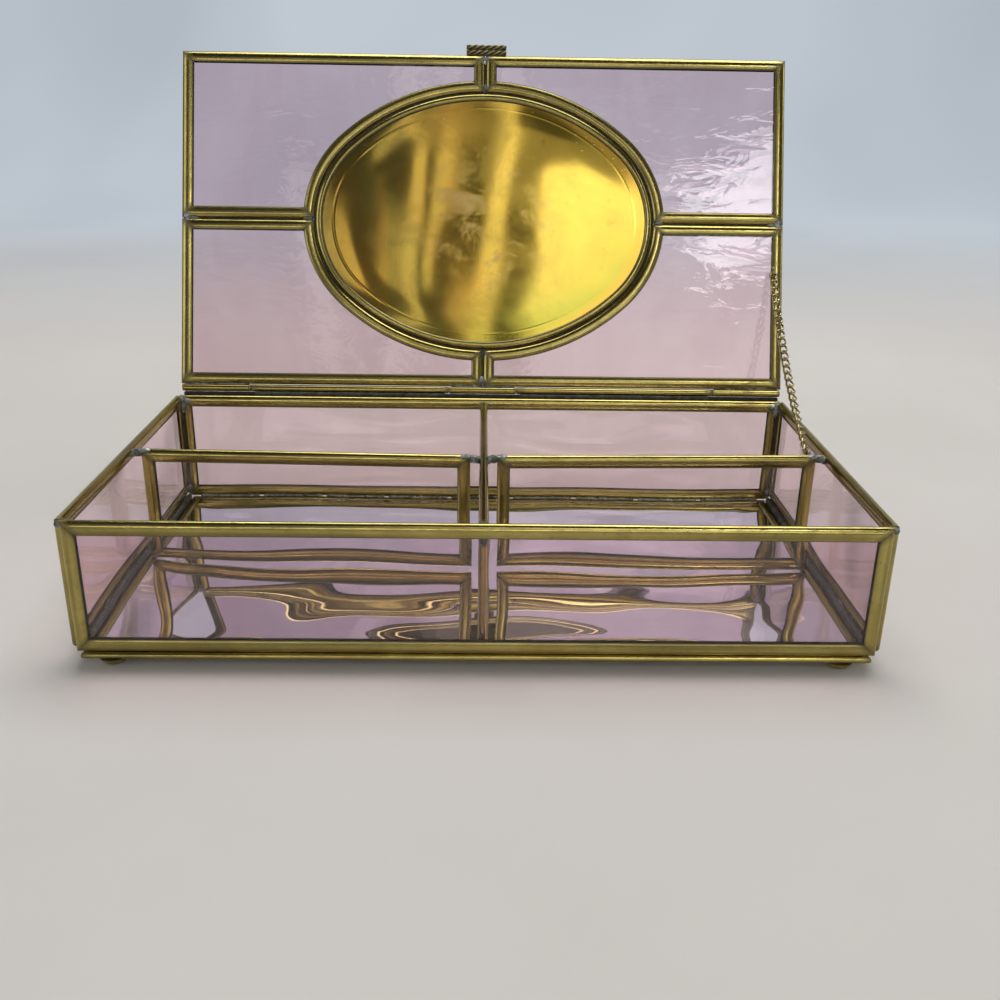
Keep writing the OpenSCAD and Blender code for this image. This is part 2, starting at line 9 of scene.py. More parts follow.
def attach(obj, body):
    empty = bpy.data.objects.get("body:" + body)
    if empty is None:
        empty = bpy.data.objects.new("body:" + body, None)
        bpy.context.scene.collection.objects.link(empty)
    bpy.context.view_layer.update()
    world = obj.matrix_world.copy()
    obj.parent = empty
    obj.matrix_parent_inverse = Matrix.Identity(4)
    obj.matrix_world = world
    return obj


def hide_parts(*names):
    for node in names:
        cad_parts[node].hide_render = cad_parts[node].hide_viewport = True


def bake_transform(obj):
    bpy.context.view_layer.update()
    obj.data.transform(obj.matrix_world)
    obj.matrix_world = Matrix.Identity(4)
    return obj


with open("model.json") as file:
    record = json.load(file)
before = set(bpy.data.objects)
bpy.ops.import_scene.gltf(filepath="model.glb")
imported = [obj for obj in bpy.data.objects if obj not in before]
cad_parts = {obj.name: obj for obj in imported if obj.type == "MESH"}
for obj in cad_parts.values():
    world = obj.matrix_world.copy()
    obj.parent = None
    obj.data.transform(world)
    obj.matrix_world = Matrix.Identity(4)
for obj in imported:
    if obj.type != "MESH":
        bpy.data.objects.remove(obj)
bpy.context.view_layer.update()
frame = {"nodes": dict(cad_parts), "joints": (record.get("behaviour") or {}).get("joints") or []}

print("frame loaded", len(frame["nodes"]), "nodes")

mm = 0.001


class Sock:  # a shader socket that takes part in sums
    def __init__(self, finish, socket):
        self.finish = finish
        self.socket = socket

    def sum(self, operation, first, second):
        return self.finish.node("Math", {"operation": operation}, {0: first, 1: second})

    def __add__(self, other):
        return self.sum("ADD", self, other)

    def __radd__(self, other):
        return self.sum("ADD", other, self)

    def __sub__(self, other):
        return self.sum("SUBTRACT", self, other)

    def __rsub__(self, other):
        return self.sum("SUBTRACT", other, self)

    def __mul__(self, other):
        return self.sum("MULTIPLY", self, other)

    def __rmul__(self, other):
        return self.sum("MULTIPLY", other, self)


class Finish:  # one material or world and the nodes in it
    def __init__(self, name, kinds=bpy.data.materials):
        self.owner = kinds.new(name)
        self.owner.use_nodes = True
        self.tree = self.owner.node_tree
        self.tree.nodes.clear()

    def node(self, kind, settings=None, values=None, out=0):
        made = self.tree.nodes.new("ShaderNode" + kind)
        for key, value in (settings or {}).items():
            setattr(made, key, value)
        for key, value in (values or {}).items():
            socket = made.inputs[key]
            if isinstance(value, Sock):
                self.tree.links.new(value.socket, socket)
            elif socket.type == "RGBA":
                socket.default_value = (*value[:3], 1)
            else:
                socket.default_value = value
        return Sock(self, made.outputs[out])

    def mix(self, mask, first, second):  # colours
        return self.node("Mix", {"data_type": "RGBA"}, {0: mask, 6: first, 7: second}, 2)

    def spread(self, value, low, high):  # low to high becomes 0 to 1
        return self.node("MapRange", {"clamp": True}, {"Value": value, "From Min": low, "From Max": high})

    def cloud(self, place, scale, detail=3, rough=0.5, bend=0):
        return self.node("TexNoise", None, {
            "Vector": place, "Scale": scale, "Detail": detail, "Roughness": rough, "Distortion": bend})

    def patch(self, low, high, *cloud):
        return self.spread(self.cloud(*cloud), low, high)

    def worn(self, look, wear):  # roughness, between the look's smooth and dull
        return look["smooth"] + (look["dull"] - look["smooth"]) * wear

    def stretched(self, place, size):
        return self.node("Mapping", None, {"Vector": place, "Scale": size})

    def run(self):  # millimetres along a piece, across it, and the piece's own number
        return self.node("Attribute", {"attribute_name": "run"}, None, "Vector")

    def shadeAndDirt(self):
        return self.node("Attribute", {"attribute_name": "shadeAndDirt"}, None, "Fac")

    def bump(self, height, strength, distance):
        return self.node("Bump", None, {"Height": height, "Strength": strength, "Distance": distance})

    def surface(self, shader, kind="OutputMaterial"):
        out = self.tree.nodes.new("ShaderNode" + kind)
        self.tree.links.new(shader.socket, out.inputs["Surface"])
        return self.owner

brassLook = {
    "clean": (0.47, 0.39, 0.125), "warm": (0.37, 0.295, 0.09), "aged": (0.14, 0.12, 0.045),
    "dark": (0.03, 0.025, 0.012), "smooth": 0.11, "dull": 0.32, "rounding": 0.02,
}
oldBrassLook = {
    "clean": (0.36, 0.30, 0.13), "warm": (0.28, 0.23, 0.10), "aged": (0.12, 0.10, 0.05),
    "dark": (0.02, 0.018, 0.01), "smooth": 0.2, "dull": 0.45, "rounding": 0,
}
chainBrassLook = {
    "clean": (0.56, 0.48, 0.235), "warm": (0.40, 0.33, 0.15), "aged": (0.13, 0.11, 0.055),
    "dark": (0.02, 0.018, 0.01), "smooth": 0.13, "dull": 0.32, "rounding": 0,
}


def brassFinish(name, look):
    f = Finish(name)
    run, shadeAndDirt = f.run(), f.shadeAndDirt()
    place = f.node("TexCoord", None, None, "Object")
    patches = f.patch(0.38, 0.66, place, 110, 5, 0.6, 0.4)
    specks = f.patch(0.56, 0.74, place, 900, 4, 0.65)
    drawn = f.cloud(f.stretched(run, (0.05, 2.6, 1)), 1.4, 4, 0.6)
    scratch = f.patch(0.62, 0.72, f.stretched(run, (0.5, 7, 1)), 1.0, 2, 0.5, 0.6)
    bands = f.patch(0.42, 0.66, f.stretched(run, (0.012, 0.5, 1)), 1.0, 2, 0.5)
    colour = f.mix(patches, look["clean"], look["warm"])
    colour = f.mix(bands * 0.6, colour, look["aged"])
    colour = f.mix(f.spread(drawn, 0.5, 0.85) * 0.35, colour, look["aged"])
    colour = f.mix(specks * 0.35, colour, look["aged"])
    # painted shade with some dirt: the shade-and-dirt channel pulls the colour to the dark shade colour
    colour = f.mix(shadeAndDirt, colour, look["dark"])
    rough = f.worn(look, patches * 0.35 + drawn * 0.3) + shadeAndDirt * 0.35
    across = f.node("SeparateXYZ", None, {"Vector": run}, "Y") - 1.5
    height = drawn * 0.006 + scratch * 0.006 + specks * 0.004 - across * across * look["rounding"]
    shader = f.node("BsdfPrincipled", None, {
        "Base Color": colour, "Metallic": 1 - shadeAndDirt * 0.85, "Roughness": rough,
        "Normal": f.bump(height, 1.0, mm)})
    return f.surface(shader)

goldLook = {
    "bright": (0.82, 0.57, 0.09), "olive": (0.24, 0.20, 0.06), "amber": (0.72, 0.36, 0.06),
    "green": (0.40, 0.40, 0.06), "stain": (0.36, 0.16, 0.05), "smear": (0.62, 0.52, 0.36), "smooth": 0.045,
    "dull": 0.2,
}


def goldFinish(name, look):
    f = Finish(name)
    place = f.node("TexCoord", None, None, "Object")
    run = f.run()
    across = f.node("SeparateXYZ", None, {"Vector": run}, "X")
    upward = f.node("SeparateXYZ", None, {"Vector": run}, "Y")
    bend = f.cloud(f.stretched(run, (0.03, 0.03, 1)), 1.0, 2, 0.5)
    haze = f.patch(0.4, 0.7, place, 45, 6, 0.6, 0.5)
    tarnish = f.spread(across + bend * 40, 50, -4)  # heavier toward the left
    # painted reflection: a green tint toward the lower right in place of reflected green light
    paintedGreenReflection = f.spread(across - upward * 1.6 + bend * 50, 62, 96) * 0.85
    bands = f.patch(0.45, 0.72, f.stretched(run, (0.055, 0.014, 1)), 1.0, 2, 0.5, 0.5)
    stains = f.patch(0.6, 0.78, place, 150, 6, 0.7, 1.2)
    pits = f.patch(0.68, 0.76, place, 1300, 3, 0.6)
    fine = f.cloud(f.stretched(run, (2.2, 0.12, 1)), 1.6, 4, 0.6)
    scuff = f.patch(0.62, 0.72, f.stretched(run, (0.25, 1.7, 1)), 1.5, 5, 0.7, 1.5)
    fromMiddle = f.node("VectorMath", {"operation": "LENGTH"}, {0: f.stretched(run, (1, 1, 0))}, "Value")
    middle = 1 - f.spread(fromMiddle, 6, 26)
    smear = f.patch(0.5, 0.7, f.stretched(run, (0.09, 0.13, 1)), 1.0, 4, 0.6, 0.9) * middle
    colour = f.mix(haze * 0.25 + tarnish * 0.62, look["bright"], look["olive"])
    colour = f.mix(bands * tarnish * 0.7, colour, look["amber"])
    colour = f.mix(paintedGreenReflection, colour, look["green"])
    edge = f.shadeAndDirt()  # on the plate the shade-and-dirt channel holds the distance from the middle of the plate to its edge
    line = f.spread(edge, 0.908, 0.918) * f.spread(edge, 0.93, 0.92)
    ring = f.spread(edge, 0.9, 0.97)
    colour = f.mix(ring * f.spread(across, 0, 40) * 0.5, colour, look["amber"])
    colour = f.mix(ring * f.spread(across, 10, -40) * 0.4, colour, look["olive"])
    glints = f.patch(0.71, 0.75, place, 760, 2, 0.5) * f.spread(upward, 12, 30)
    colour = f.mix(glints, colour, look["smear"])
    colour = f.mix(smear * 0.4, colour, look["smear"])
    colour = f.mix(stains * 0.5, colour, look["stain"])
    colour = f.mix(pits * 0.7, colour, look["stain"])
    wear = haze * 0.4 + scuff * 0.6 + fine * 0.15 + smear * 0.7
    rough = f.worn(look, wear)
    height = fine * 0.1 + scuff * 0.03 + pits * 0.2 + glints * 0.8 + line
    shader = f.node("BsdfPrincipled", None, {
        "Base Color": colour, "Metallic": 1.0, "Roughness": rough, "Normal": f.bump(height, 0.22, 0.00004)})
    return f.surface(shader)

solderLook = {
    "bright": (0.45, 0.475, 0.44), "aged": (0.17, 0.185, 0.155), "dark": (0.021, 0.02, 0.013), "smooth": 0.2,
    "dull": 0.55,
}


def solderFinish(name, look):
    f = Finish(name)
    place = f.node("TexCoord", None, None, "Object")
    dross = f.patch(0.38, 0.6, place, 420, 5, 0.65, 0.8)
    cracks = f.patch(0.52, 0.66, place, 760, 4, 0.7, 1.4)
    grain = f.cloud(place, 1700, 3, 0.6)
    colour = f.mix(dross, look["bright"], look["aged"])
    colour = f.mix(cracks * 0.8, colour, look["dark"])
    shadeAndDirt = f.shadeAndDirt()
    # painted shade with some dirt: the shade-and-dirt channel pulls the solder to its dark shade colour
    colour = f.mix(shadeAndDirt, colour, look["dark"])
    rough = f.worn(look, dross) + shadeAndDirt * 0.3
    shader = f.node("BsdfPrincipled", None, {
        "Base Color": colour, "Metallic": 1 - shadeAndDirt * 0.85, "Roughness": rough,
        "Normal": f.bump(dross * 0.7 + grain * 0.4, 0.5, 0.00015)})
    return f.surface(shader)

lidGlassLook = {
    "thin": (0.88, 0.715, 0.765), "deep": (0.79, 0.585, 0.65), "shade": (0.90, 0.80, 0.83), "rough": 0.012,
    "wave": 0.0003, "stretch": (0.06, 0.13, 1), "detail": 3,
}
boxGlassLook = {
    "thin": (0.90, 0.76, 0.80), "deep": (0.82, 0.645, 0.70), "shade": (0.91, 0.82, 0.85), "rough": 0.01,
    "wave": 0.0022, "stretch": (0.028, 0.036, 1), "detail": 0,
}
clearGlassLook = {
    "thin": (0.985, 0.965, 0.975), "deep": (0.965, 0.935, 0.95), "shade": (0.97, 0.95, 0.96), "rough": 0.008,
    "wave": 0.0004, "stretch": (0.028, 0.036, 1), "detail": 0,
}


def glassFinish(name, look):
    f = Finish(name)
    run = f.run()
    cloudy = f.patch(0.3, 0.75, f.stretched(run, (0.05, 0.02, 1)), 1.0, 4, 0.55, 0.8)
    ripple = f.cloud(f.stretched(run, look["stretch"]), 1.0, look["detail"], 0.45, 0.3 * look["detail"])
    pane = f.node("BsdfPrincipled", None, {
        "Base Color": f.mix(cloudy, look["thin"], look["deep"]), "Roughness": look["rough"], "IOR": 1.5,
        "Transmission Weight": 1.0, "Normal": f.bump(ripple, 0.5, look["wave"])})
    through = f.node("BsdfTransparent", None, {"Color": look["shade"]})
    shadow = f.node("LightPath", None, None, "Is Shadow Ray")
    return f.surface(f.node("MixShader", None, {0: shadow, 1: pane, 2: through}))

mirrorLook = {"clear": (0.97, 0.95, 0.96), "milky": (0.88, 0.84, 0.86), "smooth": 0.008, "dull": 0.1}


def mirrorFinish(name, look):
    f = Finish(name)
    run = f.run()
    milky = f.patch(0.45, 0.8, f.stretched(run, (0.06, 0.03, 1)), 1.0, 5, 0.6, 0.7)
    dust = f.patch(0.66, 0.75, run, 3.1, 4, 0.7)
    ripple = f.cloud(f.stretched(run, (0.036, 0.05, 1)), 1.0, 0)
    rough = f.worn(look, milky * 0.25 + dust * 0.8)
    shader = f.node("BsdfPrincipled", None, {
        "Base Color": f.mix(milky, look["clear"], look["milky"]), "Metallic": 1.0, "Roughness": rough,
        "Coat Weight": 0.3, "Normal": f.bump(ripple + dust * 0.004, 0.5, 0.0011)})
    return f.surface(shader)


brass = brassFinish("drawnBrass", brassLook)
oldBrass = brassFinish("oldBrass", oldBrassLook)
chainBrass = brassFinish("chainBrass", chainBrassLook)
gold = goldFinish("goldSheet", goldLook)
solder = solderFinish("tinSolder", solderLook)
boxGlass = glassFinish("pinkGlass", boxGlassLook)
lidGlass = glassFinish("ripplePinkGlass", lidGlassLook)
clearGlass = glassFinish("clearGlass", clearGlassLook)
mirror = mirrorFinish("waveMirror", mirrorLook)
print("finishes ready")

sharpAngle = 40


class Skin:  # the points and faces of one piece, in millimetres
    def __init__(self, place):
        self.place = place
        self.points = []
        self.faces = []
        self.runs = []
        self.shadeAndDirtValues = []

    def add(self, point, run, shadeAndDirt):
        self.points.append(self.place @ Vector(point) * mm)
        self.runs.append(run)
        self.shadeAndDirtValues.append(shadeAndDirt)
        return len(self.points) - 1

    def quads(self, rows, wrapRows=False, wrapPoints=False):
        count = len(rows)
        for i in range(count if wrapRows else count - 1):
            here = rows[i]
            there = rows[(i + 1) % count]
            wide = len(here)
            for k in range(wide if wrapPoints else wide - 1):
                n = (k + 1) % wide
                self.faces.append((here[k], here[n], there[n], there[k]))

    def caps(self, rows):  # a face over each end
        self.faces.append(tuple(rows[0]))
        self.faces.append(tuple(rows[-1]))

    def piece(self, name, material, body, slotName, *nodes):
        mesh = bpy.data.meshes.new(name)
        mesh.from_pydata(self.points, [], self.faces)
        work = bmesh.new()
        work.from_mesh(mesh)
        bmesh.ops.recalc_face_normals(work, faces=work.faces)
        work.to_mesh(mesh)
        work.free()
        run = mesh.attributes.new("run", "FLOAT_VECTOR", "POINT")
        run.data.foreach_set("vector", [c for r in self.runs for c in r])
        shadeAndDirt = mesh.attributes.new("shadeAndDirt", "FLOAT", "POINT")
        shadeAndDirt.data.foreach_set("value", self.shadeAndDirtValues)
        mesh.materials.append(material)
        mesh.shade_smooth()
        mesh.set_sharp_from_angle(angle=math.radians(sharpAngle))
        made = placed(name, mesh)
        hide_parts(*nodes)
        if body:
            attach(made, body)
        return made


def placed(name, data):
    made = bpy.data.objects.new(name, data)
    bpy.context.scene.collection.objects.link(made)
    return made


def move(x, y, z):
    return Matrix.Translation((x, y, z))


def turn(degrees, axis):
    return Matrix.Rotation(math.radians(degrees), 4, axis)


def clamp(value):
    return max(0, min(1, value))


def ease(value):  # a smooth step from 0 to 1
    value = clamp(value)
    return value * value * (3 - 2 * value)


def around(count):  # angles in equal steps round a circle
    return [2 * math.pi * k / count for k in range(count)]


def ripple(x, y, seed, length):  # smooth noise from -1 to 1
    return noise.noise(Vector((x / length, y / length, seed * 7.31)))


# every size from here on is in millimetres, in the row frame or in a piece's own flat frame
came = {
    "width": 3.6, "half": 1.3, "roll": 2.1, "back": 1.4, "slotHalf": 0.9, "crown": 0.3, "lipTrim": 0.12,
    "lipRound": 0.02, "cut": 0.05, "sway": 0.07, "swayLength": 26, "liftShare": 0.6, "step": 2.2,
    # lip and flank darkening are painted shade by the glass
    "lipShade": 0.75, "lipReach": 0.35, "flankShade": 0.2, "flankReach": 1.5, "noseReach": 0.3,
    "slotSpare": 0.03, "endShade": 0.56, "endReach": 0.35,
}


def channelProfile(width, roll, back, slotHalf):
    # (distance from the nose, height) round a folded channel that swells over its first roll millimetres
    half = came["half"]
    bend = came["lipRound"]
    top = [(roll + roll * math.cos(a), half * math.sin(a)) for a in map(math.radians, range(90, 181, 10))]
    flank = []
    for k in range(6, 0, -1):
        part = k / 6
        flank.append((roll + (width - came["lipTrim"] - roll) * part, half - came["crown"] * part * part))
    tip = half - came["crown"]
    middle = (width + bend, (slotHalf + tip) / 2)
    lip = [(width, slotHalf + bend), middle, (width - 1.5 * bend, tip - 2 * bend)]
    upper = [(back, slotHalf)] + lip + flank + top
    return upper + [(d, -h) for d, h in reversed(upper[:-1])]


def railShadeAndDirt(d, h, width):  # dirt fills the slot; painted shade darkens the lips and thins out toward the nose
    if abs(h) <= came["slotHalf"] + came["slotSpare"] and d > 0.3 * width:
        return 1
    lip = max(0, 1 - (width - d) / came["lipReach"])
    flank = max(0, 1 - (width - d) / came["flankReach"])
    return came["lipShade"] * lip + came["flankShade"] * flank


def sweepRail(skin, profile, path, length, seed, closed=False, step=came["step"], noseShade=0):
    # path gives the point at a distance from the nose and a share of the length
    steps = max(6, round(length / step))
    width = max(d for d, h in profile)
    thin = 1 - came["liftShare"] * came["sway"] / came["half"]
    rows = []
    for i in range(steps if closed else steps + 1):
        t = i / steps
        nose = path(0, t)
        inward = (path(width, t) - nose).normalized()
        along = t * length
        push = came["sway"] * (0.5 + 0.5 * ripple(nose.x, nose.y, seed, came["swayLength"]))
        lift = came["sway"] * came["liftShare"] * ripple(nose.y, nose.x, seed + 3.3, came["swayLength"])
        fromEnd = length if closed else min(along, length - along)
        # painted shade darkens the rail toward each mitred end
        endShade = came["endShade"] * math.exp(-fromEnd / came["endReach"])
        row = []
        for d, h in profile:
            point = path(d, t) + inward * push * (1 - d / width)
            # painted shade at the mitred ends, the lips and the upright noses, with dirt in the slot
            shadeAndDirt = endShade + railShadeAndDirt(d, h, width) + noseShade * max(0, 1 - d / came["noseReach"])
            row.append(skin.add((point.x, point.y, h * thin + lift), (along, d, seed * 13.7), min(1, shadeAndDirt)))
        rows.append(row)
    skin.quads(rows, closed, True)
    if not closed:
        skin.caps(rows)


def between(cornerA, cornerB):
    # a straight rail between two mitres, each a point for each distance from the nose
    def path(d, t):
        a = cornerA(d)
        b = cornerB(d)
        along = (b - a).normalized() * came["cut"]
        return (a + along).lerp(b - along, t)
    return path


def rectangleRails(skin, width, height, seed, noseShade=0):  # the nose darkening, painted shade along the nose edge, is for the upright rails
    def corner(u, v):
        return lambda d: Vector((u * (width / 2 - d), v * (height / 2 - d)))

    corners = [corner(-1, -1), corner(1, -1), corner(1, 1), corner(-1, 1)]
    for k in range(4):
        a = corners[k]
        b = corners[(k + 1) % 4]
        dirtAndShade = noseShade * (k % 2)
        sweepRail(skin, cameShape, between(a, b), (b(0) - a(0)).length, seed + k * 1.7, noseShade=dirtAndShade)


def slab(skin, rows, half, wave, waveLength, seed, shape=None, mark=None):
    # a sheet over a grid of points, with uneven faces; shape lifts it and mark gives its shade-and-dirt
    # value, which on the plate is the distance to its edge
    top = []
    bottom = []
    for row in rows:
        upper = []
        lower = []
        for p in row:
            rise = wave * (0.5 + 0.5 * ripple(p.x, p.y * 0.7, seed, waveLength))
            sink = wave * (0.5 + 0.5 * ripple(p.y, p.x * 0.7, seed + 5.1, waveLength * 1.2))
            form = shape(p) if shape else 0
            note = mark(p) if mark else 0
            upper.append(skin.add((p.x, p.y, half - rise + form), (p.x, p.y, seed * 31), note))
            lower.append(skin.add((p.x, p.y, sink - half + form), (p.x, p.y, seed * 31 + 9), note))
        top.append(upper)
        bottom.append(lower)
    skin.quads(top)
    skin.quads(bottom)
    rims = [s[0] + [r[-1] for r in s[1:]] + s[-1][-2::-1] + [r[0] for r in s[-2:0:-1]] for s in (top, bottom)]
    skin.quads(rims, False, True)


def rectangleCells(width, height, step):
    across = max(4, round(width / step))
    up = max(4, round(height / step))
    return [[Vector(((i / across - 0.5) * width, (j / up - 0.5) * height)) for i in range(across + 1)]
            for j in range(up + 1)]


def tube(skin, line, radii, sides, closed=False, seed=0, lump=0, flat=None, dirtAndShade=None):
    # a tube through the points of a line; flat is (axis, share) and squeezes it, and the last argument gives
    # a point's dirt and painted shade
    count = len(line)
    rows = []
    side = None
    for i, p in enumerate(line):
        if closed:
            ahead = line[(i + 1) % count] - line[i - 1]
        else:
            ahead = line[min(i + 1, count - 1)] - line[max(i - 1, 0)]
        ahead.normalize()
        if side is None:
            side = ahead.orthogonal().normalized()
        side = (side - ahead * side.dot(ahead)).normalized()
        other = ahead.cross(side)
        row = []
        for k, a in enumerate(around(sides)):
            out = side * math.cos(a) + other * math.sin(a)
            reach = radii[i] if isinstance(radii, list) else radii
            if lump:
                reach *= 1 + lump * noise.noise((p + out * reach) * 0.9 + Vector((seed, 0, 0)))
            push = out * reach
            if flat:
                push -= flat[0] * push.dot(flat[0]) * (1 - flat[1])
            row.append(skin.add(p + push, (i * 0.4, 1.5, seed + k), dirtAndShade(p + push) if dirtAndShade else 0))
        rows.append(row)
    skin.quads(rows, closed, True)
    if not closed:
        skin.caps(rows)


cameShape = channelProfile(came["width"], came["roll"], came["back"], came["slotHalf"])

box = {
    "width": 200, "depth": 108, "back": 20.9567, "wallBottom": 4.9, "wallHeight": 34.6, "sideRise": 0.8,
    "frontWidth": 196.18, "sideLength": 104.18, "innerX": 97.4, "innerY": 51.4, "noseShade": 0.9,
}
glass = {"half": 0.86, "inset": 1.6, "wave": 0.07, "waveLength": 21, "step": 2.4}
onBox = move(0, -box["back"], 0)
sideHeight = box["wallHeight"] - box["sideRise"]


def upright(x, y, z, degrees):  # where a pane stands, facing front at 0 degrees
    return onBox @ move(x, y, z) @ turn(degrees, "Z") @ turn(90, "X")


def nodeName(name):
    return "".join("_" + c.lower() if c.isupper() else c for c in name)


def framedPane(place, name, body, material, layRails, cells, seed):
    rails = Skin(place)
    layRails(rails)
    rails.piece(name + "Frame", brass, body, "brass", nodeName(name) + "_frame")
    pane = Skin(place)
    slab(pane, cells, glass["half"], glass["wave"], glass["waveLength"], seed)
    pane.piece(name + "Pane", material, body, "pink_glass", nodeName(name) + "_pane")


def wall(place, width, height, seed, name, material, noseShade=0):
    trim = 2 * glass["inset"]
    cells = rectangleCells(width - trim, height - trim, glass["step"])
    framedPane(place, name, "box", material,
               lambda skin: rectangleRails(skin, width, height, seed, noseShade), cells, seed)


for name, way, seed in (("front", -1, 1), ("back", 1, 2)):
    place = upright(0, way * (box["depth"] / 2 - came["half"]), box["wallBottom"] + box["wallHeight"] / 2, 0)
    wall(place, box["frontWidth"], box["wallHeight"], seed, name, boxGlass, box["noseShade"])
for name, way, seed in (("left", -1, 3), ("right", 1, 4)):
    middle = box["wallBottom"] + box["sideRise"] + sideHeight / 2
    place = upright(way * (box["width"] / 2 - came["half"]), 0, middle, 90)
    wall(place, box["sideLength"], sideHeight, seed, name, boxGlass)

divider = {
    "bottom": 4.95, "top": 38.9, "centreX": 0.9, "centreLength": 101.6, "y": -0.8, "skew": 1.85,
    "left": (-95.1, -2.8), "right": (4.6, 95.1),
}
dividerHeight = divider["top"] - divider["bottom"]
middle = (divider["bottom"] + divider["top"]) / 2
place = upright(divider["centreX"], 0, middle, 90)
wall(place, divider["centreLength"], dividerHeight, 5, "centreDivider", clearGlass)
for name, way, seed in (("left", -1, 6), ("right", 1, 7)):
    low, high = divider[name]
    place = upright((low + high) / 2, divider["y"], middle, way * divider["skew"])
    wall(place, high - low, dividerHeight, seed, name + "Divider", clearGlass)
print("walls and dividers built")

# the base: a channel loop around a mirror, on four domed feet
base = {
    "width": 194.6, "depth": 106.8, "middleZ": 3.6, "step": 1.6, "mirrorWave": 0.9, "mirrorLength": 40,
    "mirrorFade": 9, "mirrorSag": 0.4, "mirrorBroad": 0.42, "mirrorSmall": 0.06, "grain": 0.02,
    "grainLength": 20,
}
atBase = onBox @ move(0, 0, base["middleZ"])
baseRails = Skin(atBase)
rectangleRails(baseRails, base["width"], base["depth"], 8)
baseRails.piece("baseFrame", brass, "box", "brass", "base_frame")
mirrorWidth = base["width"] - 2 * glass["inset"]
mirrorDepth = base["depth"] - 2 * glass["inset"]


def mirrorForm(p):
    edge = min(mirrorWidth / 2 - abs(p.x), mirrorDepth / 2 - abs(p.y)) - came["width"] + glass["inset"]
    broad = base["mirrorBroad"] * ripple(p.x, p.y * 1.7, 11, base["mirrorLength"])
    small = base["mirrorSmall"] * ripple(p.x * 0.8, p.y * 1.3, 17, 0.5 * base["mirrorLength"])
    return -base["mirrorWave"] * ease(edge / base["mirrorFade"]) * (base["mirrorSag"] + broad + small)


floorMirror = Skin(atBase)
cells = rectangleCells(mirrorWidth, mirrorDepth, base["step"])
slab(floorMirror, cells, glass["half"], base["grain"], base["grainLength"], 9, mirrorForm)
floorMirror.piece("baseMirror", mirror, "box", "mirror", "base_mirror")

feet = {"x": 90.4, "y": 49.5, "radius": 3.8, "flat": 1.5, "height": 2.3, "dent": 0.02, "levels": 8}
ballZ = (feet["radius"] ** 2 - feet["flat"] ** 2 + feet["height"] ** 2) / (2 * feet["height"])
ballR = math.hypot(feet["flat"], ballZ)
domes = Skin(onBox)
for xSide in (-1, 1):
    for ySide in (-1, 1):
        rows = []
        for level in range(feet["levels"] + 1):
            t = level / feet["levels"]
            z = feet["height"] * t
            radius = math.sqrt(ballR ** 2 - (ballZ - z) ** 2)
            radius *= 1 - feet["dent"] * (0.5 + 0.5 * noise.noise(Vector((xSide, ySide, t * 2))))
            row = []
            for a in around(28):
                x = xSide * feet["x"] + radius * math.cos(a)
                y = ySide * feet["y"] + radius * math.sin(a)
                # darker toward the top, where the foot meets the frame
                row.append(domes.add((x, y, z), (a * 3, 1.5, xSide + ySide + z), 0.5 * t))
            rows.append(row)
        domes.quads(rows, False, True)
        domes.caps(rows)
domes.piece("domedFeet", brass, "box", "brass", "feet")
print("base built")

# the lid: four quarters around an oval, each a channel loop with its pane
lid = {
    "width": 197, "length": 108, "shift": 0.4, "lean": 20.6, "start": 1.27, "pairGap": 0.2, "hingeY": 55.6,
    "hingeZ": 41.25, "arcLength": 76, "arcStep": 1.3, "paneCells": (20, 36, 22), "upShare": 0.42,
}
oval = {"endX": 22, "endR": 37, "sideR": 69.72, "sideY": 24.22, "turn": 47.75}
atHinge = onBox @ move(lid["shift"], lid["hingeY"], lid["hingeZ"])
onLid = atHinge @ turn(90 - lid["lean"], "X")
lidMiddle = onLid @ move(0, lid["start"] + lid["length"] / 2, 0)


def ovalReach(angle, margin):  # how far the oval lies from its middle that way
    angle = abs(math.atan2(math.sin(angle), math.cos(angle)))
    angle = min(angle, math.pi - angle)
    endX = oval["endX"]
    endR = oval["endR"] + margin
    sideY = oval["sideY"]
    sideR = oval["sideR"] + margin
    bend = math.radians(oval["turn"])
    joint = math.atan2(endR * math.sin(bend), endX + endR * math.cos(bend))
    if angle < joint:
        return endX * math.cos(angle) + math.sqrt(endR ** 2 - (endX * math.sin(angle)) ** 2)
    return -sideY * math.sin(angle) + math.sqrt(sideR ** 2 - (sideY * math.cos(angle)) ** 2)


def ovalPoint(angle, margin):
    reach = ovalReach(angle, margin)
    return Vector((reach * math.cos(angle), reach * math.sin(angle)))


def quarterCorners(inset, ovalMargin):
    # the five mitres of a quarter frame, each a point for each distance from the nose
    low = lid["pairGap"] / 2 + inset
    right = lid["width"] / 2 - inset
    far = lid["length"] / 2 - inset

    def atSideRail(d):
        y = low + d
        return Vector((oval["endX"] + math.sqrt((oval["endR"] + ovalMargin + d) ** 2 - y ** 2), y))

    def atStile(d):
        x = low + d
        return Vector((x, math.sqrt((oval["sideR"] + ovalMargin + d) ** 2 - x ** 2) - oval["sideY"]))

    return [
        atSideRail, lambda d: Vector((right - d, low + d)), lambda d: Vector((right - d, far - d)),
        lambda d: Vector((low + d, far - d)), atStile,
    ]


def quarterRails(skin, seed):
    corners = quarterCorners(0, -came["width"])
    for k in range(4):
        a = corners[k]
        b = corners[k + 1]
        sweepRail(skin, cameShape, between(a, b), (b(0) - a(0)).length, seed + k * 1.7)

    def arc(d, t):
        a = corners[4](d)
        b = corners[0](d)
        trim = came["cut"] / a.length
        first = math.atan2(a.y, a.x) - trim
        last = math.atan2(b.y, b.x) + trim
        return ovalPoint(first + (last - first) * t, d - came["width"])

    sweepRail(skin, cameShape, arc, lid["arcLength"], seed + 8, False, lid["arcStep"])


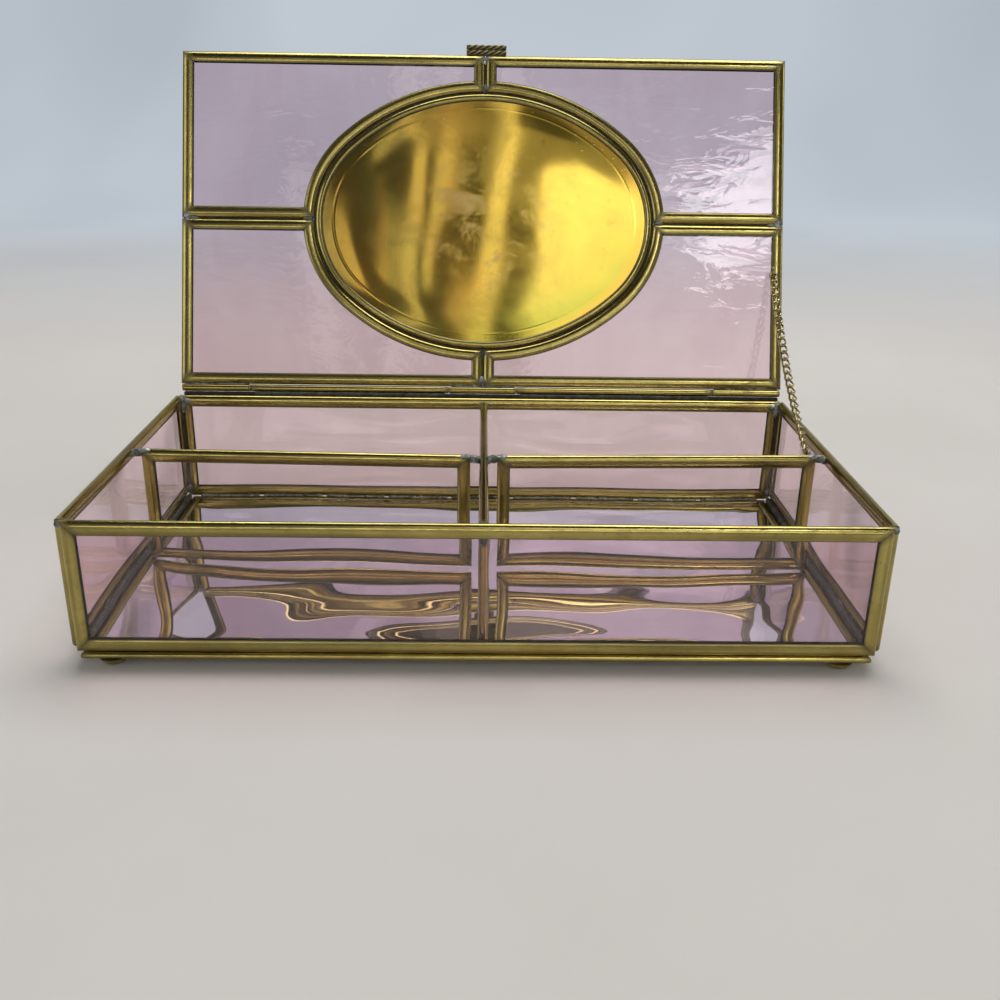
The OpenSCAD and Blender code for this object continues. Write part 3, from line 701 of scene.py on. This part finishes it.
def quarterCells():
    seat = glass["inset"] - came["width"]
    corners = [corner(0) for corner in quarterCorners(glass["inset"], seat)]
    first = math.atan2(corners[0].y, corners[0].x)
    last = math.atan2(corners[4].y, corners[4].x)
    up, across, out = lid["paneCells"]
    share = lid["upShare"]
    outer = [corners[1].lerp(corners[2], i / up) for i in range(up)]
    outer += [corners[2].lerp(corners[3], i / across) for i in range(across + 1)]
    bend = [share * i / up for i in range(up)] + [share + (1 - share) * i / across for i in range(across + 1)]
    inner = [ovalPoint(first + (last - first) * t, seat) for t in bend]
    inner[0] = corners[0]
    inner[-1] = corners[4]
    return [[near.lerp(far, k / out) for k in range(out + 1)] for near, far in zip(inner, outer)]


for row, ySide in (("Front", 1), ("Back", -1)):
    for column, xSide in (("Left", -1), ("Right", 1)):
        seed = 20 + 3 * ySide + xSide
        place = lidMiddle @ Matrix.Diagonal((xSide, ySide, 1, 1))
        name = "lid" + row + column
        framedPane(place, name, "lid", lidGlass, lambda skin: quarterRails(skin, seed), quarterCells(), seed)

rim = {"tip": 3.8, "width": 2.4, "roll": 1.5, "back": 1.4, "slotHalf": 0.47, "length": 310, "step": 1.2}
rimShape = channelProfile(rim["width"], rim["roll"], rim["back"], rim["slotHalf"])


def rimPath(d, t):
    return ovalPoint(2 * math.pi * t, -rim["tip"] - d)


rimSkin = Skin(lidMiddle)
sweepRail(rimSkin, rimShape, rimPath, rim["length"], 31, True, rim["step"])
rimSkin.piece("ovalRim", brass, "lid", "brass", "oval_rim")

plate = {
    "margin": -5.4, "half": 0.4, "cells": 84, "streak": 0.05, "streakLength": 24, "bulge": 0.16,
    "twist": -0.00016, "flat": 0.975, "fade": 0.2, "sway": 3, "swayLength": 30, "swell": 0.1,
    "swellLength": 28, "left": 20, "leftFade": 40, "dentLength": 26,
}


def plateReach(p):
    return p.length / ovalReach(math.atan2(p.y, p.x), plate["margin"]) if p.length > 0.001 else 0


def plateForm(p):
    reach = plateReach(p)
    bent = p.x + plate["sway"] * ripple(p.x, p.y, 4, plate["swayLength"])
    wave = math.sin(2 * math.pi * bent / plate["streakLength"])
    wave *= (0.6 + 0.4 * ripple(p.x, p.y, 8, plate["dentLength"]))
    left = clamp((plate["left"] - p.x) / plate["leftFade"])
    swell = plate["swell"] * ripple(p.x, p.y, 6, plate["swellLength"])
    form = plate["streak"] * wave * left + swell - plate["twist"] * p.x * p.y
    return form * ease((plate["flat"] - reach) / plate["fade"]) + plate["bulge"] * max(0, 1 - reach * reach)


plateRows = []
for j in range(plate["cells"] + 1):
    row = []
    for i in range(plate["cells"] + 1):
        p = 2 * i / plate["cells"] - 1
        q = 2 * j / plate["cells"] - 1
        disc = Vector((p * math.sqrt(1 - q * q / 2), q * math.sqrt(1 - p * p / 2)))
        row.append(disc.length * ovalPoint(math.atan2(disc.y, disc.x), plate["margin"]))
    plateRows.append(row)
plateSkin = Skin(lidMiddle)
slab(plateSkin, plateRows, plate["half"], 0, 10, 32, plateForm, plateReach)
plateSkin.piece("ovalPlate", gold, "lid", "gold_sheet", "oval_plate")
print("lid built")

# two rows of three-strand wire make the thumb piece, with a plain wire behind each
thumb = {
    "x": 0.3, "length": 12.8, "wire": 0.9, "turn": 6.4, "top": 112.92, "trim": 0.06, "cells": 110,
    "core": 0.36, "coreLift": 0.25, "coreShare": 0.98, "coreCells": 30,
}
outside = thumb["wire"] - thumb["trim"]
swing = outside / (1 + math.sin(math.pi / 3))
strand = outside - swing
ropeSkin = Skin(onLid)
for row in (1, 3):
    middleY = thumb["top"] - row * thumb["wire"]
    for phase in range(3):
        line = []
        for i in range(thumb["cells"] + 1):
            x = thumb["length"] * (i / thumb["cells"] - 0.5)
            a = -2 * math.pi * (x / thumb["turn"] + phase / 3) + row
            line.append(Vector((thumb["x"] + x, middleY + swing * math.cos(a), swing * math.sin(a))))
        # painted shade: darker toward each row's core, between the strands
        tube(ropeSkin, line, strand, 12, False, row + phase, 0, None,
             lambda p: clamp(2.3 - 2.2 * math.hypot(p.y - middleY, p.z) / outside))
for y in (thumb["top"] - 2 * thumb["wire"], thumb["top"] - 4 * thumb["wire"] + thumb["coreLift"]):
    core = []
    for i in range(thumb["coreCells"] + 1):
        x = thumb["length"] * (i / thumb["coreCells"] - 0.5) * thumb["coreShare"]
        core.append(Vector((thumb["x"] + x, y, 0)))
    # painted shade: the wires behind the strands are dark
    tube(ropeSkin, core, thumb["core"], 8, False, y, 0.2, None, lambda p: 0.8)
ropeSkin.piece("thumbRope", oldBrass, "lid", "brass", "thumb_rope")

hinge = {
    "tube": 1.15, "bore": 0.65, "pin": 0.6, "pinTip": 0.45, "pinShort": 0.3, "length": 196, "end": 22.3,
    "middle": 22, "long": 64.1, "gap": 0.3, "longSpare": 0.15, "bevel": 0.12, "cells": 24, "sides": 36,
    "seam": 0.16, "seamSide": 30, "seamWidth": 0.8,
}


def knuckle(skin, x, length, seed):  # a rolled tube, with the seam of the roll underneath
    outer = hinge["tube"]
    bore = hinge["bore"]
    bevel = hinge["bevel"]
    cells = hinge["cells"]
    stops = [0, 0, bevel] + [bevel + (length - 2 * bevel) * i / cells for i in range(1, cells)]
    stops += [length - bevel, length, length]
    radii = [bore, outer - bevel] + [outer] * (cells + 1) + [outer - bevel, bore]
    rows = []
    for s, r in zip(stops, radii):
        row = []
        # painted shade darkens each knuckle toward its ends and in the seam groove
        endShade = 0.8 * math.exp(-min(s, length - s) / 0.25)
        for k, a in enumerate(around(hinge["sides"])):
            fromSeam = (k - hinge["seamSide"]) / hinge["seamWidth"]
            dip = hinge["seam"] * math.exp(-fromSeam ** 2) if r > bore else 0
            point = (x + s, (r - dip) * math.cos(a), (r - dip) * math.sin(a))
            row.append(skin.add(point, (s, 1.5, seed + k * 0.2), endShade + 4 * dip))
        rows.append(row)
    skin.quads(rows, True, True)


half = hinge["length"] / 2
end = half - hinge["end"]
middle = hinge["middle"] / 2
longStarts = (hinge["gap"] - end, middle + hinge["gap"])
boxSpans = [(x - hinge["longSpare"], hinge["long"] + 2 * hinge["longSpare"]) for x in longStarts]
lidSpans = [(-half, hinge["end"]), (-middle, hinge["middle"]), (end, hinge["end"])]
for body, spans, seed in (("box", boxSpans, 40), ("lid", lidSpans, 44)):
    skin = Skin(atHinge)
    for k, (x, length) in enumerate(spans):
        knuckle(skin, x, length, seed + k)
    skin.piece(body + "Knuckles", brass, body, "brass", body + "_knuckles")
pinHalf = half - hinge["pinShort"]
pinLine = [Vector((pinHalf * (2 * i / 30 - 1), 0, 0)) for i in range(31)]
pinSkin = Skin(atHinge)
tube(pinSkin, pinLine, [hinge["pinTip"]] + [hinge["pin"]] * 29 + [hinge["pinTip"]], 16, False, 48)
pinSkin.piece("hingePin", brass, "box", "brass", "hinge_pin")
print("hinge built")

# solder in the open corners: a run up each one, with lumps at its ends
cornerSolder = {
    "radius": 0.9, "waist": 0.85, "opening": 0.1, "low": 1.2, "high": 1.0,
    "lumps": (  # x and y from the inner edges, z below the top or above the bottom, size, lumpiness, dirt and painted shade
        ((0.25, -1.2, -2.1), (1.5, 1.35, 3.0), 0.4, 0.1),
        ((-0.9, -1.0, -0.75), (2.3, 1.0, 1.25), 0.4, 0.1),
        ((0.3, -1.2, 0.8), (1.5, 1.4, 2.0), 0.4, 0.4),
        ((1.31, -0.5, -0.2), (1.5, 1.4, 1.1), 0.4, 0.25),
    ),
}


def bead(skin, start, end, radius, seed, lump, flat, waist, dirtAndShade):
    # a lumpy run of solder with round ends, thinner at its middle if waist is under 1
    start = Vector(start)
    end = Vector(end)
    length = (end - start).length
    count = max(7, round(length / 0.35))
    line = []
    radii = []
    for i in range(count + 1):
        t = (1 - math.cos(math.pi * i / count)) / 2
        fromEnd = min(t, 1 - t) * length
        part = min(1, fromEnd / radius)
        slim = waist + (1 - waist) * math.exp(-fromEnd / (radius * 2.2))
        line.append(start.lerp(end, t))
        radii.append(radius * math.sqrt(max(0.0004, part * (2 - part))) * slim)
    tube(skin, line, radii, 12, False, seed, lump, flat, (lambda p: dirtAndShade) if dirtAndShade else None)


def blob(skin, middle, size, seed, lump, dirtAndShade):  # a lump of solder, as far across as size says each way
    shift = Vector((seed * 3.7, 0, 0))
    rows = []
    for level in range(13):
        lean = math.pi * (0.03 + 0.94 * level / 12)
        row = []
        for a in around(20):
            out = Vector((math.sin(lean) * math.cos(a), math.sin(lean) * math.sin(a), math.cos(lean)))
            broad = lump * (0.5 + 0.5 * noise.noise(out * 1.5 + shift))
            reach = 1 - broad - 0.3 * lump * noise.noise(out * 4.3 + shift)
            point = Vector(middle) + Vector([s * o * reach for s, o in zip(size, out)])
            # painted shade in the blob's dents
            hollowShade = clamp((0.86 - reach) * 2.2)
            row.append(skin.add(point, (a * 2, level * 0.3, seed), min(1, dirtAndShade + hollowShade * 0.5)))
        rows.append(row)
    skin.quads(rows, False, True)
    skin.caps(rows)


inX = box["frontWidth"] / 2 - came["half"]
inY = box["depth"] / 2 - came["half"]
step = (2 * came["half"] + cornerSolder["opening"]) / math.sqrt(2) / 2
lowZ = box["wallBottom"] + box["sideRise"] + cornerSolder["low"]
highZ = box["wallBottom"] + box["wallHeight"] - cornerSolder["high"]
corners = Skin(onBox)
for xSide in (-1, 1):
    for ySide in (-1, 1):
        x = xSide * (inX + step)
        y = ySide * (inY - step)
        seed = 50 + 2 * xSide + ySide
        flat = (Vector((xSide, ySide, 0)).normalized(), 0.95)
        # the run is nearly black: painted shade in the corner groove
        bead(corners, (x, y, lowZ), (x, y, highZ), cornerSolder["radius"], seed, 0.2, flat,
             cornerSolder["waist"], 0.95)
        for k, (place, size, lump, dirtAndShade) in enumerate(cornerSolder["lumps"]):
            z = place[2] + (lowZ if place[2] > 0 else highZ)
            middle = (xSide * (inX + place[0]), ySide * (inY + place[1]), z)
            blob(corners, middle, size, seed + 5 + 4 * k, lump, dirtAndShade)
corners.piece("cornerSolder", solder, "box", "solder", "corner_solder")

# solder along the foot of the walls, in runs of uneven length: across and along the box
footSolder = {
    "across": {
        "out": box["innerY"] + 0.35, "up": 0.25, "count": 9, "pitch": 21, "sway": 4, "half": 9.8,
        "radius": 0.62, "seed": 60, "salt": 3, "form": (0.35, (Vector((0, 0, 1)), 0.9), 0.8, 0),
    },
    "along": {
        "out": base["width"] / 2 + 0.05, "up": 0.35, "count": 5, "pitch": 20.2, "sway": 2, "half": 10.6,
        # the runs along the sides are darkened: solder dirt and painted shade in the crease
        "radius": 1.05, "seed": 65, "salt": 5, "form": (0.15, None, 1, 0.9),
    },
}
seams = Skin(onBox)
for way, run in footSolder.items():
    for side in (-1, 1):
        out = side * run["out"]
        z = box["wallBottom"] + run["up"]
        for k in range(run["count"]):
            middle = (k - run["count"] // 2) * run["pitch"]
            middle += run["sway"] * noise.noise(Vector((k, side, run["salt"])))
            ends = [middle - run["half"], middle + run["half"]]
            start, end = [(s, out, z) if way == "across" else (out, s, z) for s in ends]
            bead(seams, start, end, run["radius"], run["seed"] + k, *run["form"])
seams.piece("baseSolder", solder, "box", "solder", "base_solder")

# a bar and two lumps at each end of the cross dividers, and two lumps at each end of the centre divider
dividerSolder = {  # how far each lump lies below the top, and its other measures
    "bar": (1.2, 1.3, 1.35), "top": (0.6, 1.3), "far": (1.3, 0.3, 0.5), "head": 1.4, "neck": 3.8,
}
topZ = divider["top"]
bars = Skin(onBox)
skew = math.tan(math.radians(divider["skew"]))
for name, way in (("left", -1), ("right", 1)):
    low, high = divider[name]
    outer = way * box["innerX"]
    inner = divider["centreX"] + way * came["half"]
    for end, stop in ((low, min(outer, inner)), (high, max(outer, inner))):
        y = divider["y"] + way * (end - (low + high) / 2) * skew
        sign = 1 if stop > end else -1
        drop, spare, thick = dividerSolder["bar"]
        size = (abs(stop - end) / 2 + spare, thick, thick)
        blob(bars, ((end + stop) / 2 - sign * 0.1, y, topZ - drop), size, 70 + end, 0.25, 0.45)
        drop, back = dividerSolder["top"]
        blob(bars, (end - sign * back, y, topZ - drop), (2.3, 1.45, 0.9), 71 + end, 0.35, 0.2)
        drop, back, ahead = dividerSolder["far"]
        blob(bars, (stop - sign * back, y - ahead, topZ - drop), (0.9, 1.1, 1.5), 72 + end, 0.4, 0.1)
for ySide in (-1, 1):
    x = divider["centreX"]
    y = divider["centreLength"] / 2
    blob(bars, (x, ySide * (y - 0.2), topZ - dividerSolder["head"]), (1.9, 1.9, 1.6), 78 + ySide, 0.35, 0.25)
    blob(bars, (x, ySide * (y + 0.3), topZ - dividerSolder["neck"]), (1.4, 1.0, 2.4), 83 + ySide, 0.4, 0.5)
bars.piece("dividerSolder", solder, "box", "solder", "divider_solder")

# solder under the hinge: along the box knuckles, and a filler below the lid's; both nearly black, painted
# shade in the gap under the hinge
hingeSolder = {
    "trim": 0.8, "longPlace": (-1.2, -1.55), "longRadius": 0.82, "fillPlace": (-0.6, -1.87),
    "fillRadius": 0.75, "fillReach": 2.6, "endTrim": 0.3, "lidPlace": (1.25, 0.42), "lidRadius": 0.5,
    "spots": (3.2, 2.1, 4.4, 2.6), "spotStart": 3, "spotPitch": 5.3,
}
strips = Skin(atHinge)
trim = hingeSolder["trim"]
for k, x in enumerate(longStarts):
    y, z = hingeSolder["longPlace"]
    end = x + hinge["long"] - trim
    bead(strips, (x + trim, y, z), (end, y, z), hingeSolder["longRadius"], 80 + 5 * k, 0.12, None, 0.96, 0.9)
for k, (x, length) in enumerate(lidSpans):
    y, z = hingeSolder["fillPlace"]
    limit = hinge["length"] / 2 - hingeSolder["endTrim"]
    start = max(x - hingeSolder["fillReach"], -limit)
    end = min(x + length + hingeSolder["fillReach"], limit)
    bead(strips, (start, y, z), (end, y, z), hingeSolder["fillRadius"], 88 + k, 0.08, None, 1, 1)
strips.piece("boxHingeSolder", solder, "box", "solder", "box_hinge_solder")

lidSeams = Skin(onLid)
for k, (x, length) in enumerate(lidSpans):
    y, z = hingeSolder["lidPlace"]
    for face in (-1, 1):
        bead(lidSeams, (x + trim, y, z * face), (x + length - trim, y, z * face), hingeSolder["lidRadius"],
             90 + 2 * k + face, 0.35, None, 0.75, 0.35)
    if k == 1:
        for n, wide in enumerate(hingeSolder["spots"]):
            middle = (x + hingeSolder["spotStart"] + n * hingeSolder["spotPitch"], 1.3, 0.55)
            blob(lidSeams, middle, (wide * 0.6, 0.62, 0.5), 94 + n, 0.3, 0.1)
lidSeams.piece("lidHingeSolder", solder, "lid", "solder", "lid_hinge_solder")

# solder between the lid's quarters: along each joint, in spots on both faces, and around the oval
lidSolder = {
    "radius": 0.42, "ovalOut": 0.1, "ovalRadius": 0.34, "ovalCells": 220,
    "side": {"far": lid["width"] / 2, "start": 56, "trim": 0.9, "seed": 96, "spotSeed": 100, "spots": (
        ((-1.8, 0.5, 0.62), (1.5, 2.3, 0.85), 0.4, 0.05),
        ((-3.9, -0.1, 0.5), (2.1, 0.8, 0.75), 0.45, 0.3),
        ((57.6, 0.1, 0.45), (2.0, 1.0, 0.8), 0.45, 0.35),
    )},
    "stile": {"far": lid["length"] / 2, "start": 42.5, "trim": 1, "seed": 118, "spotSeed": 120, "spots": (
        ((-1.9, -0.5, 0.55), (1.4, 1.7, 0.8), 0.4, 0.1),
        ((-1.4, 0.9, 0.6), (1.2, 1.0, 0.75), 0.45, 0.3),
        ((43.2, 0.1, 0.5), (1.0, 1.7, 0.75), 0.45, 0.6),
    )},
}


def jointSolder(skin, kind, way):
    # a spot is given along the joint, from its outer end or from the lid's middle, then across it and up
    part = lidSolder[kind]

    def lay(along, across, z):
        return (way * along, across, z) if kind == "side" else (across, way * along, z)

    # the joint run is nearly black: painted shade in the groove between the quarters
    bead(skin, lay(part["start"], 0, 0), lay(part["far"] - part["trim"], 0, 0), lidSolder["radius"],
         part["seed"] + way, 0.3, None, 0.9, 0.95)
    for face in (-1, 1):
        for more, ((along, across, z), size, lump, dirtAndShade) in zip((0, 7, 15), part["spots"]):
            middle = lay(along if along > 0 else part["far"] + along, across, z * face)
            blob(skin, middle, size, part["spotSeed"] + 3 * way + face + more, lump, dirtAndShade)


spots = Skin(lidMiddle)
for kind in ("side", "stile"):
    for way in (-1, 1):
        jointSolder(spots, kind, way)
# the oval run is nearly black: painted shade in the gap by the rim
joint = [ovalPoint(a, -came["width"] - lidSolder["ovalOut"]).to_3d() for a in around(lidSolder["ovalCells"])]
tube(spots, joint, lidSolder["ovalRadius"], 8, True, 140, 0.25, None, lambda p: 0.9)
spots.piece("lidSolder", solder, "lid", "solder", "lid_solder")
print("solder laid")

# the stay chain: a soldered ring on each body and 26 curb links between them
chain = {
    "links": 26, "linkWidth": 2.7, "wire": 0.33, "play": 0.15, "sag": 3.7, "twist": 45, "rigidShare": 0.002,
    "ringR": 1.35, "ringWire": 0.4, "ringCells": 40, "ringPlay": 0.08, "boxRing": (93.5, 3.7406, 37.6),
    "lidRing": (94.6, 39.5, 3.13),
}


def ringAt(place, name, body, node):
    skin = Skin(place)
    radius = chain["ringR"]
    line = [Vector((0, radius * math.cos(a), radius * math.sin(a))) for a in around(chain["ringCells"])]
    tube(skin, line, chain["ringWire"], 14, True, 130)
    skin.piece(name, oldBrass, body, "brass", node)


boxRingPlace = onBox @ move(*chain["boxRing"])
lidRingPlace = onLid @ move(*chain["lidRing"])
ringAt(boxRingPlace, "boxChainRing", "box", "box_chain_ring")
ringAt(lidRingPlace, "lidChainRing", "lid", "lid_chain_ring")
startPoint = boxRingPlace.translation
span = lidRingPlace.translation - startPoint
rise = math.degrees(math.asin(span.z / span.length))
sideTurn = math.degrees(math.atan2(span.x, span.y))
alongChain = boxRingPlace @ turn(-sideTurn, "Z") @ turn(rise, "X")
grip = chain["ringR"] - chain["ringWire"] - chain["wire"] - chain["ringPlay"]
pitch = (span.length - 2 * grip - 2 * chain["wire"] - chain["play"]) / chain["links"]
linkLength = pitch + 2 * chain["wire"] + chain["play"]
bendR = chain["linkWidth"] / 2 - chain["wire"]
barHalf = linkLength / 2 - bendR
closeAngle = math.radians(frame["joints"][0]["range_deg"][1])
pivot = atHinge.translation


def chainLink(index):
    along = grip + linkLength / 2 + index * pitch
    part = along / span.length
    drop = -4 * chain["sag"] * part * (1 - part)
    tilt = math.degrees(math.atan(-4 * chain["sag"] * (1 - 2 * part) / span.length))
    face = chain["twist"] * (1 - 2 * index / (chain["links"] - 1))
    place = alongChain @ move(0, along, drop) @ turn(tilt, "X") @ turn(face, "Y")
    skin = Skin(place)
    line = []
    for end in (0, 1):
        for k in range(9):
            a = math.pi * k / 8 + math.pi * end
            y = bendR * math.sin(a) + (barHalf if end == 0 else -barHalf)
            # the two ends of a link lie square to each other
            lean = math.radians(chain["twist"]) * y / (bendR + barHalf)
            x = bendR * math.cos(a)
            line.append(Vector((x * math.cos(lean), y, -x * math.sin(lean))))
    tube(skin, line, chain["wire"], 10, True, index)
    return skin, place.translation


def angleOf(point):  # the way from the hinge to a point
    return math.atan2(point.z - pivot.z, point.y - pivot.y) % (2 * math.pi)


def easePlace(share):  # where the smooth step reaches a share
    low = 0.0
    high = 1.0
    for _ in range(50):
        middle = (low + high) / 2
        if ease(middle) < share:
            low = middle
        else:
            high = middle
    return low


for index in range(chain["links"]):
    skin, centre = chainLink(index)
    # how much of the lid's turn the link takes as the lid shuts
    share = clamp(2 * (angleOf(startPoint) - angleOf(centre)) / closeAngle)
    name = f"chainLink{index + 1:02d}"
    if min(share, 1 - share) < chain["rigidShare"]:
        skin.piece(name, chainBrass, "lid" if share > 0.5 else "box", "brass", "stay_chain")
        continue
    link = skin.piece(name, chainBrass, None, "brass", "stay_chain")
    low = easePlace(share)
    arm = centre - pivot
    arm.x = 0
    ahead = Vector((0, arm.z, -arm.y)).normalized()
    length = 3 * low * (1 - low) * arm.length * closeAngle
    first = centre - ahead * low * length
    first * mm
    (first + ahead * length) * mm
    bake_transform(link)
print("chain hung")

# a pale floor that curves up into the backdrop, in metres
cove = {
    "floor": (0.70, 0.67, 0.63), "mottle": (0.66, 0.63, 0.59), "backdrop": (0.53, 0.585, 0.64),
    "fold": (0.42, 0.47, 0.52), "rough": 0.75, "width": 1.8, "front": -1.6, "near": -0.4, "behind": 0.3,
    "bend": 0.75, "radius": 0.35, "top": 1.3, "cells": 12, "fadeStart": 0.25, "fadeEnd": 0.8,
}


def floorFinish(look):
    f = Finish("paleFloor")
    place = f.node("TexCoord", None, None, "Object")
    depth = f.node("SeparateXYZ", None, {"Vector": place}, "Y")
    mottle = f.patch(0.35, 0.7, place, 6, 5, 0.6)
    paintedFolds = f.patch(0.35, 0.7, f.stretched(place, (1, 1, 0.5)), 2.2, 2, 0.5, 0.5)
    grain = f.cloud(place, 700, 2, 0.5)
    shader = f.node("BsdfPrincipled", None, {
        "Base Color": f.mix(mottle, look["floor"], look["mottle"]), "Roughness": look["rough"],
        "Normal": f.bump(grain, 0.1, 0.0002)})
    # painted shade: darker fold patches on the glowing backdrop
    glow = f.node("Emission", None, {"Color": f.mix(paintedFolds, look["backdrop"], look["fold"])})
    seen = f.node("LightPath", None, None, "Is Camera Ray") + f.node("LightPath", None, None, "Is Glossy Ray")
    seen = seen + f.node("LightPath", None, None, "Is Transmission Ray")
    far = f.spread(depth, look["fadeStart"], look["fadeEnd"])
    return f.surface(f.node("MixShader", None, {0: f.spread(seen, 0, 1) * far, 1: shader, 2: glow}))


outline = [(cove[key], 0) for key in ("front", "near", "behind", "bend")]
for k in range(1, cove["cells"] + 1):
    a = math.radians(90 * k / cove["cells"])
    y = cove["bend"] + cove["radius"] * math.sin(a)
    outline.append((y, cove["radius"] * (1 - math.cos(a))))
outline.append((cove["bend"] + cove["radius"], cove["top"]))
covePoints = [(x, y, z) for y, z in outline for x in (-cove["width"], cove["width"])]
floor = bpy.data.meshes.new("cove")
floor.from_pydata(covePoints, [], [(2 * k, 2 * k + 1, 2 * k + 3, 2 * k + 2) for k in range(len(outline) - 1)])
floor.materials.append(floorFinish(cove))
floor.shade_smooth()
placed("cove", floor)

lamps = {  # place and aim in metres, width, height, power in watts, colour, roll in degrees
    "overhead": ((0.1, 0.3, 1.15), (0, 0, 0.03), 1.0, 0.8, 10.5, (1, 1, 1), 0),
    "window": ((0.27, -1.0, 0.675), (0.05, 0.04, 0.09), 0.4, 0.36, 0.72, (1, 0.98, 0.93), -11),
    "paleWall": ((0.15, -1.02, 0.95), (0.05, 0.04, 0.1), 0.34, 0.17, 0.045, (1, 0.98, 0.94), 0),
    "lowWindow": ((0.1, -1.3, 0.34), (0, -0.05, 0.04), 1.5, 0.22, 1.9, (1, 0.98, 0.95), 0),
    "skylight": ((0.42, -1.0, 0.86), (0.08, 0.04, 0.1), 0.22, 0.14, 0.55, (0.96, 0.98, 1), 25),
    "leftFill": ((-1.2, -0.5, 0.6), (0, 0, 0.05), 0.8, 0.8, 2.5, (0.96, 0.98, 1), 0),
    "rightFill": ((1.3, 0.1, 0.7), (0, 0, 0.05), 0.5, 0.9, 2.0, (1, 0.98, 0.96), 0),
    "stripOne": ((-0.115, -0.95, 0.77), (-0.02, 0.04, 0.09), 0.035, 0.6, 0.07, (1, 0.93, 0.82), 0),
    "stripTwo": ((-0.06, -0.95, 0.87), (-0.01, 0.04, 0.09), 0.03, 0.34, 0.032, (1, 0.93, 0.82), -3),
    "stripThree": ((0.012, -0.95, 0.77), (0.01, 0.04, 0.09), 0.04, 0.6, 0.09, (1, 0.93, 0.82), -6),
    "stripFour": ((-0.23, -0.95, 0.68), (-0.02, 0.04, 0.09), 0.04, 0.34, 0.04, (1, 0.93, 0.82), 15),
}
for name, (place, aim, width, height, power, colour, roll) in lamps.items():
    light = bpy.data.lights.new(name, "AREA")
    light.shape = "RECTANGLE"
    light.size = width
    light.size_y = height
    light.energy = power
    light.color = colour
    lamp = placed(name, light)
    lamp.location = place
    lamp.rotation_mode = "QUATERNION"
    facing = (Vector(aim) - Vector(place)).to_track_quat("-Z", "Y")
    lamp.rotation_quaternion = facing @ Quaternion((0, 0, 1), math.radians(roll))

room = {"high": (0.055, 0.055, 0.06), "low": (0.30, 0.30, 0.32), "start": 0.05, "end": 0.75}
studio = Finish("studio", bpy.data.worlds)
skyward = studio.node("SeparateXYZ", None, {"Vector": studio.node("TexCoord", None, None, "Generated")}, "Z")
roomColour = studio.mix(studio.spread(skyward, room["start"], room["end"]), room["low"], room["high"])
studio.surface(studio.node("Background", None, {"Color": roomColour}), "OutputWorld")
bpy.context.scene.world = studio.owner

shot = {  # place, lens and sensor in millimetres, angles in degrees, clip in metres
    "place": (0.135, -300.93, 135.5), "pitch": 21.61, "yaw": 1.13, "roll": 0.94, "lens": 37.926, "sensor": 36,
    "clip": 0.01,
}
camera = bpy.data.cameras.new("camera")
camera.sensor_width = shot["sensor"]
camera.lens = shot["lens"]
camera.clip_start = shot["clip"]
cameraObject = placed("camera", camera)
cameraObject.matrix_world = (
    move(*(mm * part for part in shot["place"])) @ turn(-shot["yaw"], "Z") @ turn(90 - shot["pitch"], "X")
    @ turn(shot["roll"], "Z"))
bpy.context.scene.camera = cameraObject
bpy.context.scene.view_settings.view_transform = "Standard"
print("camera and lamps set")
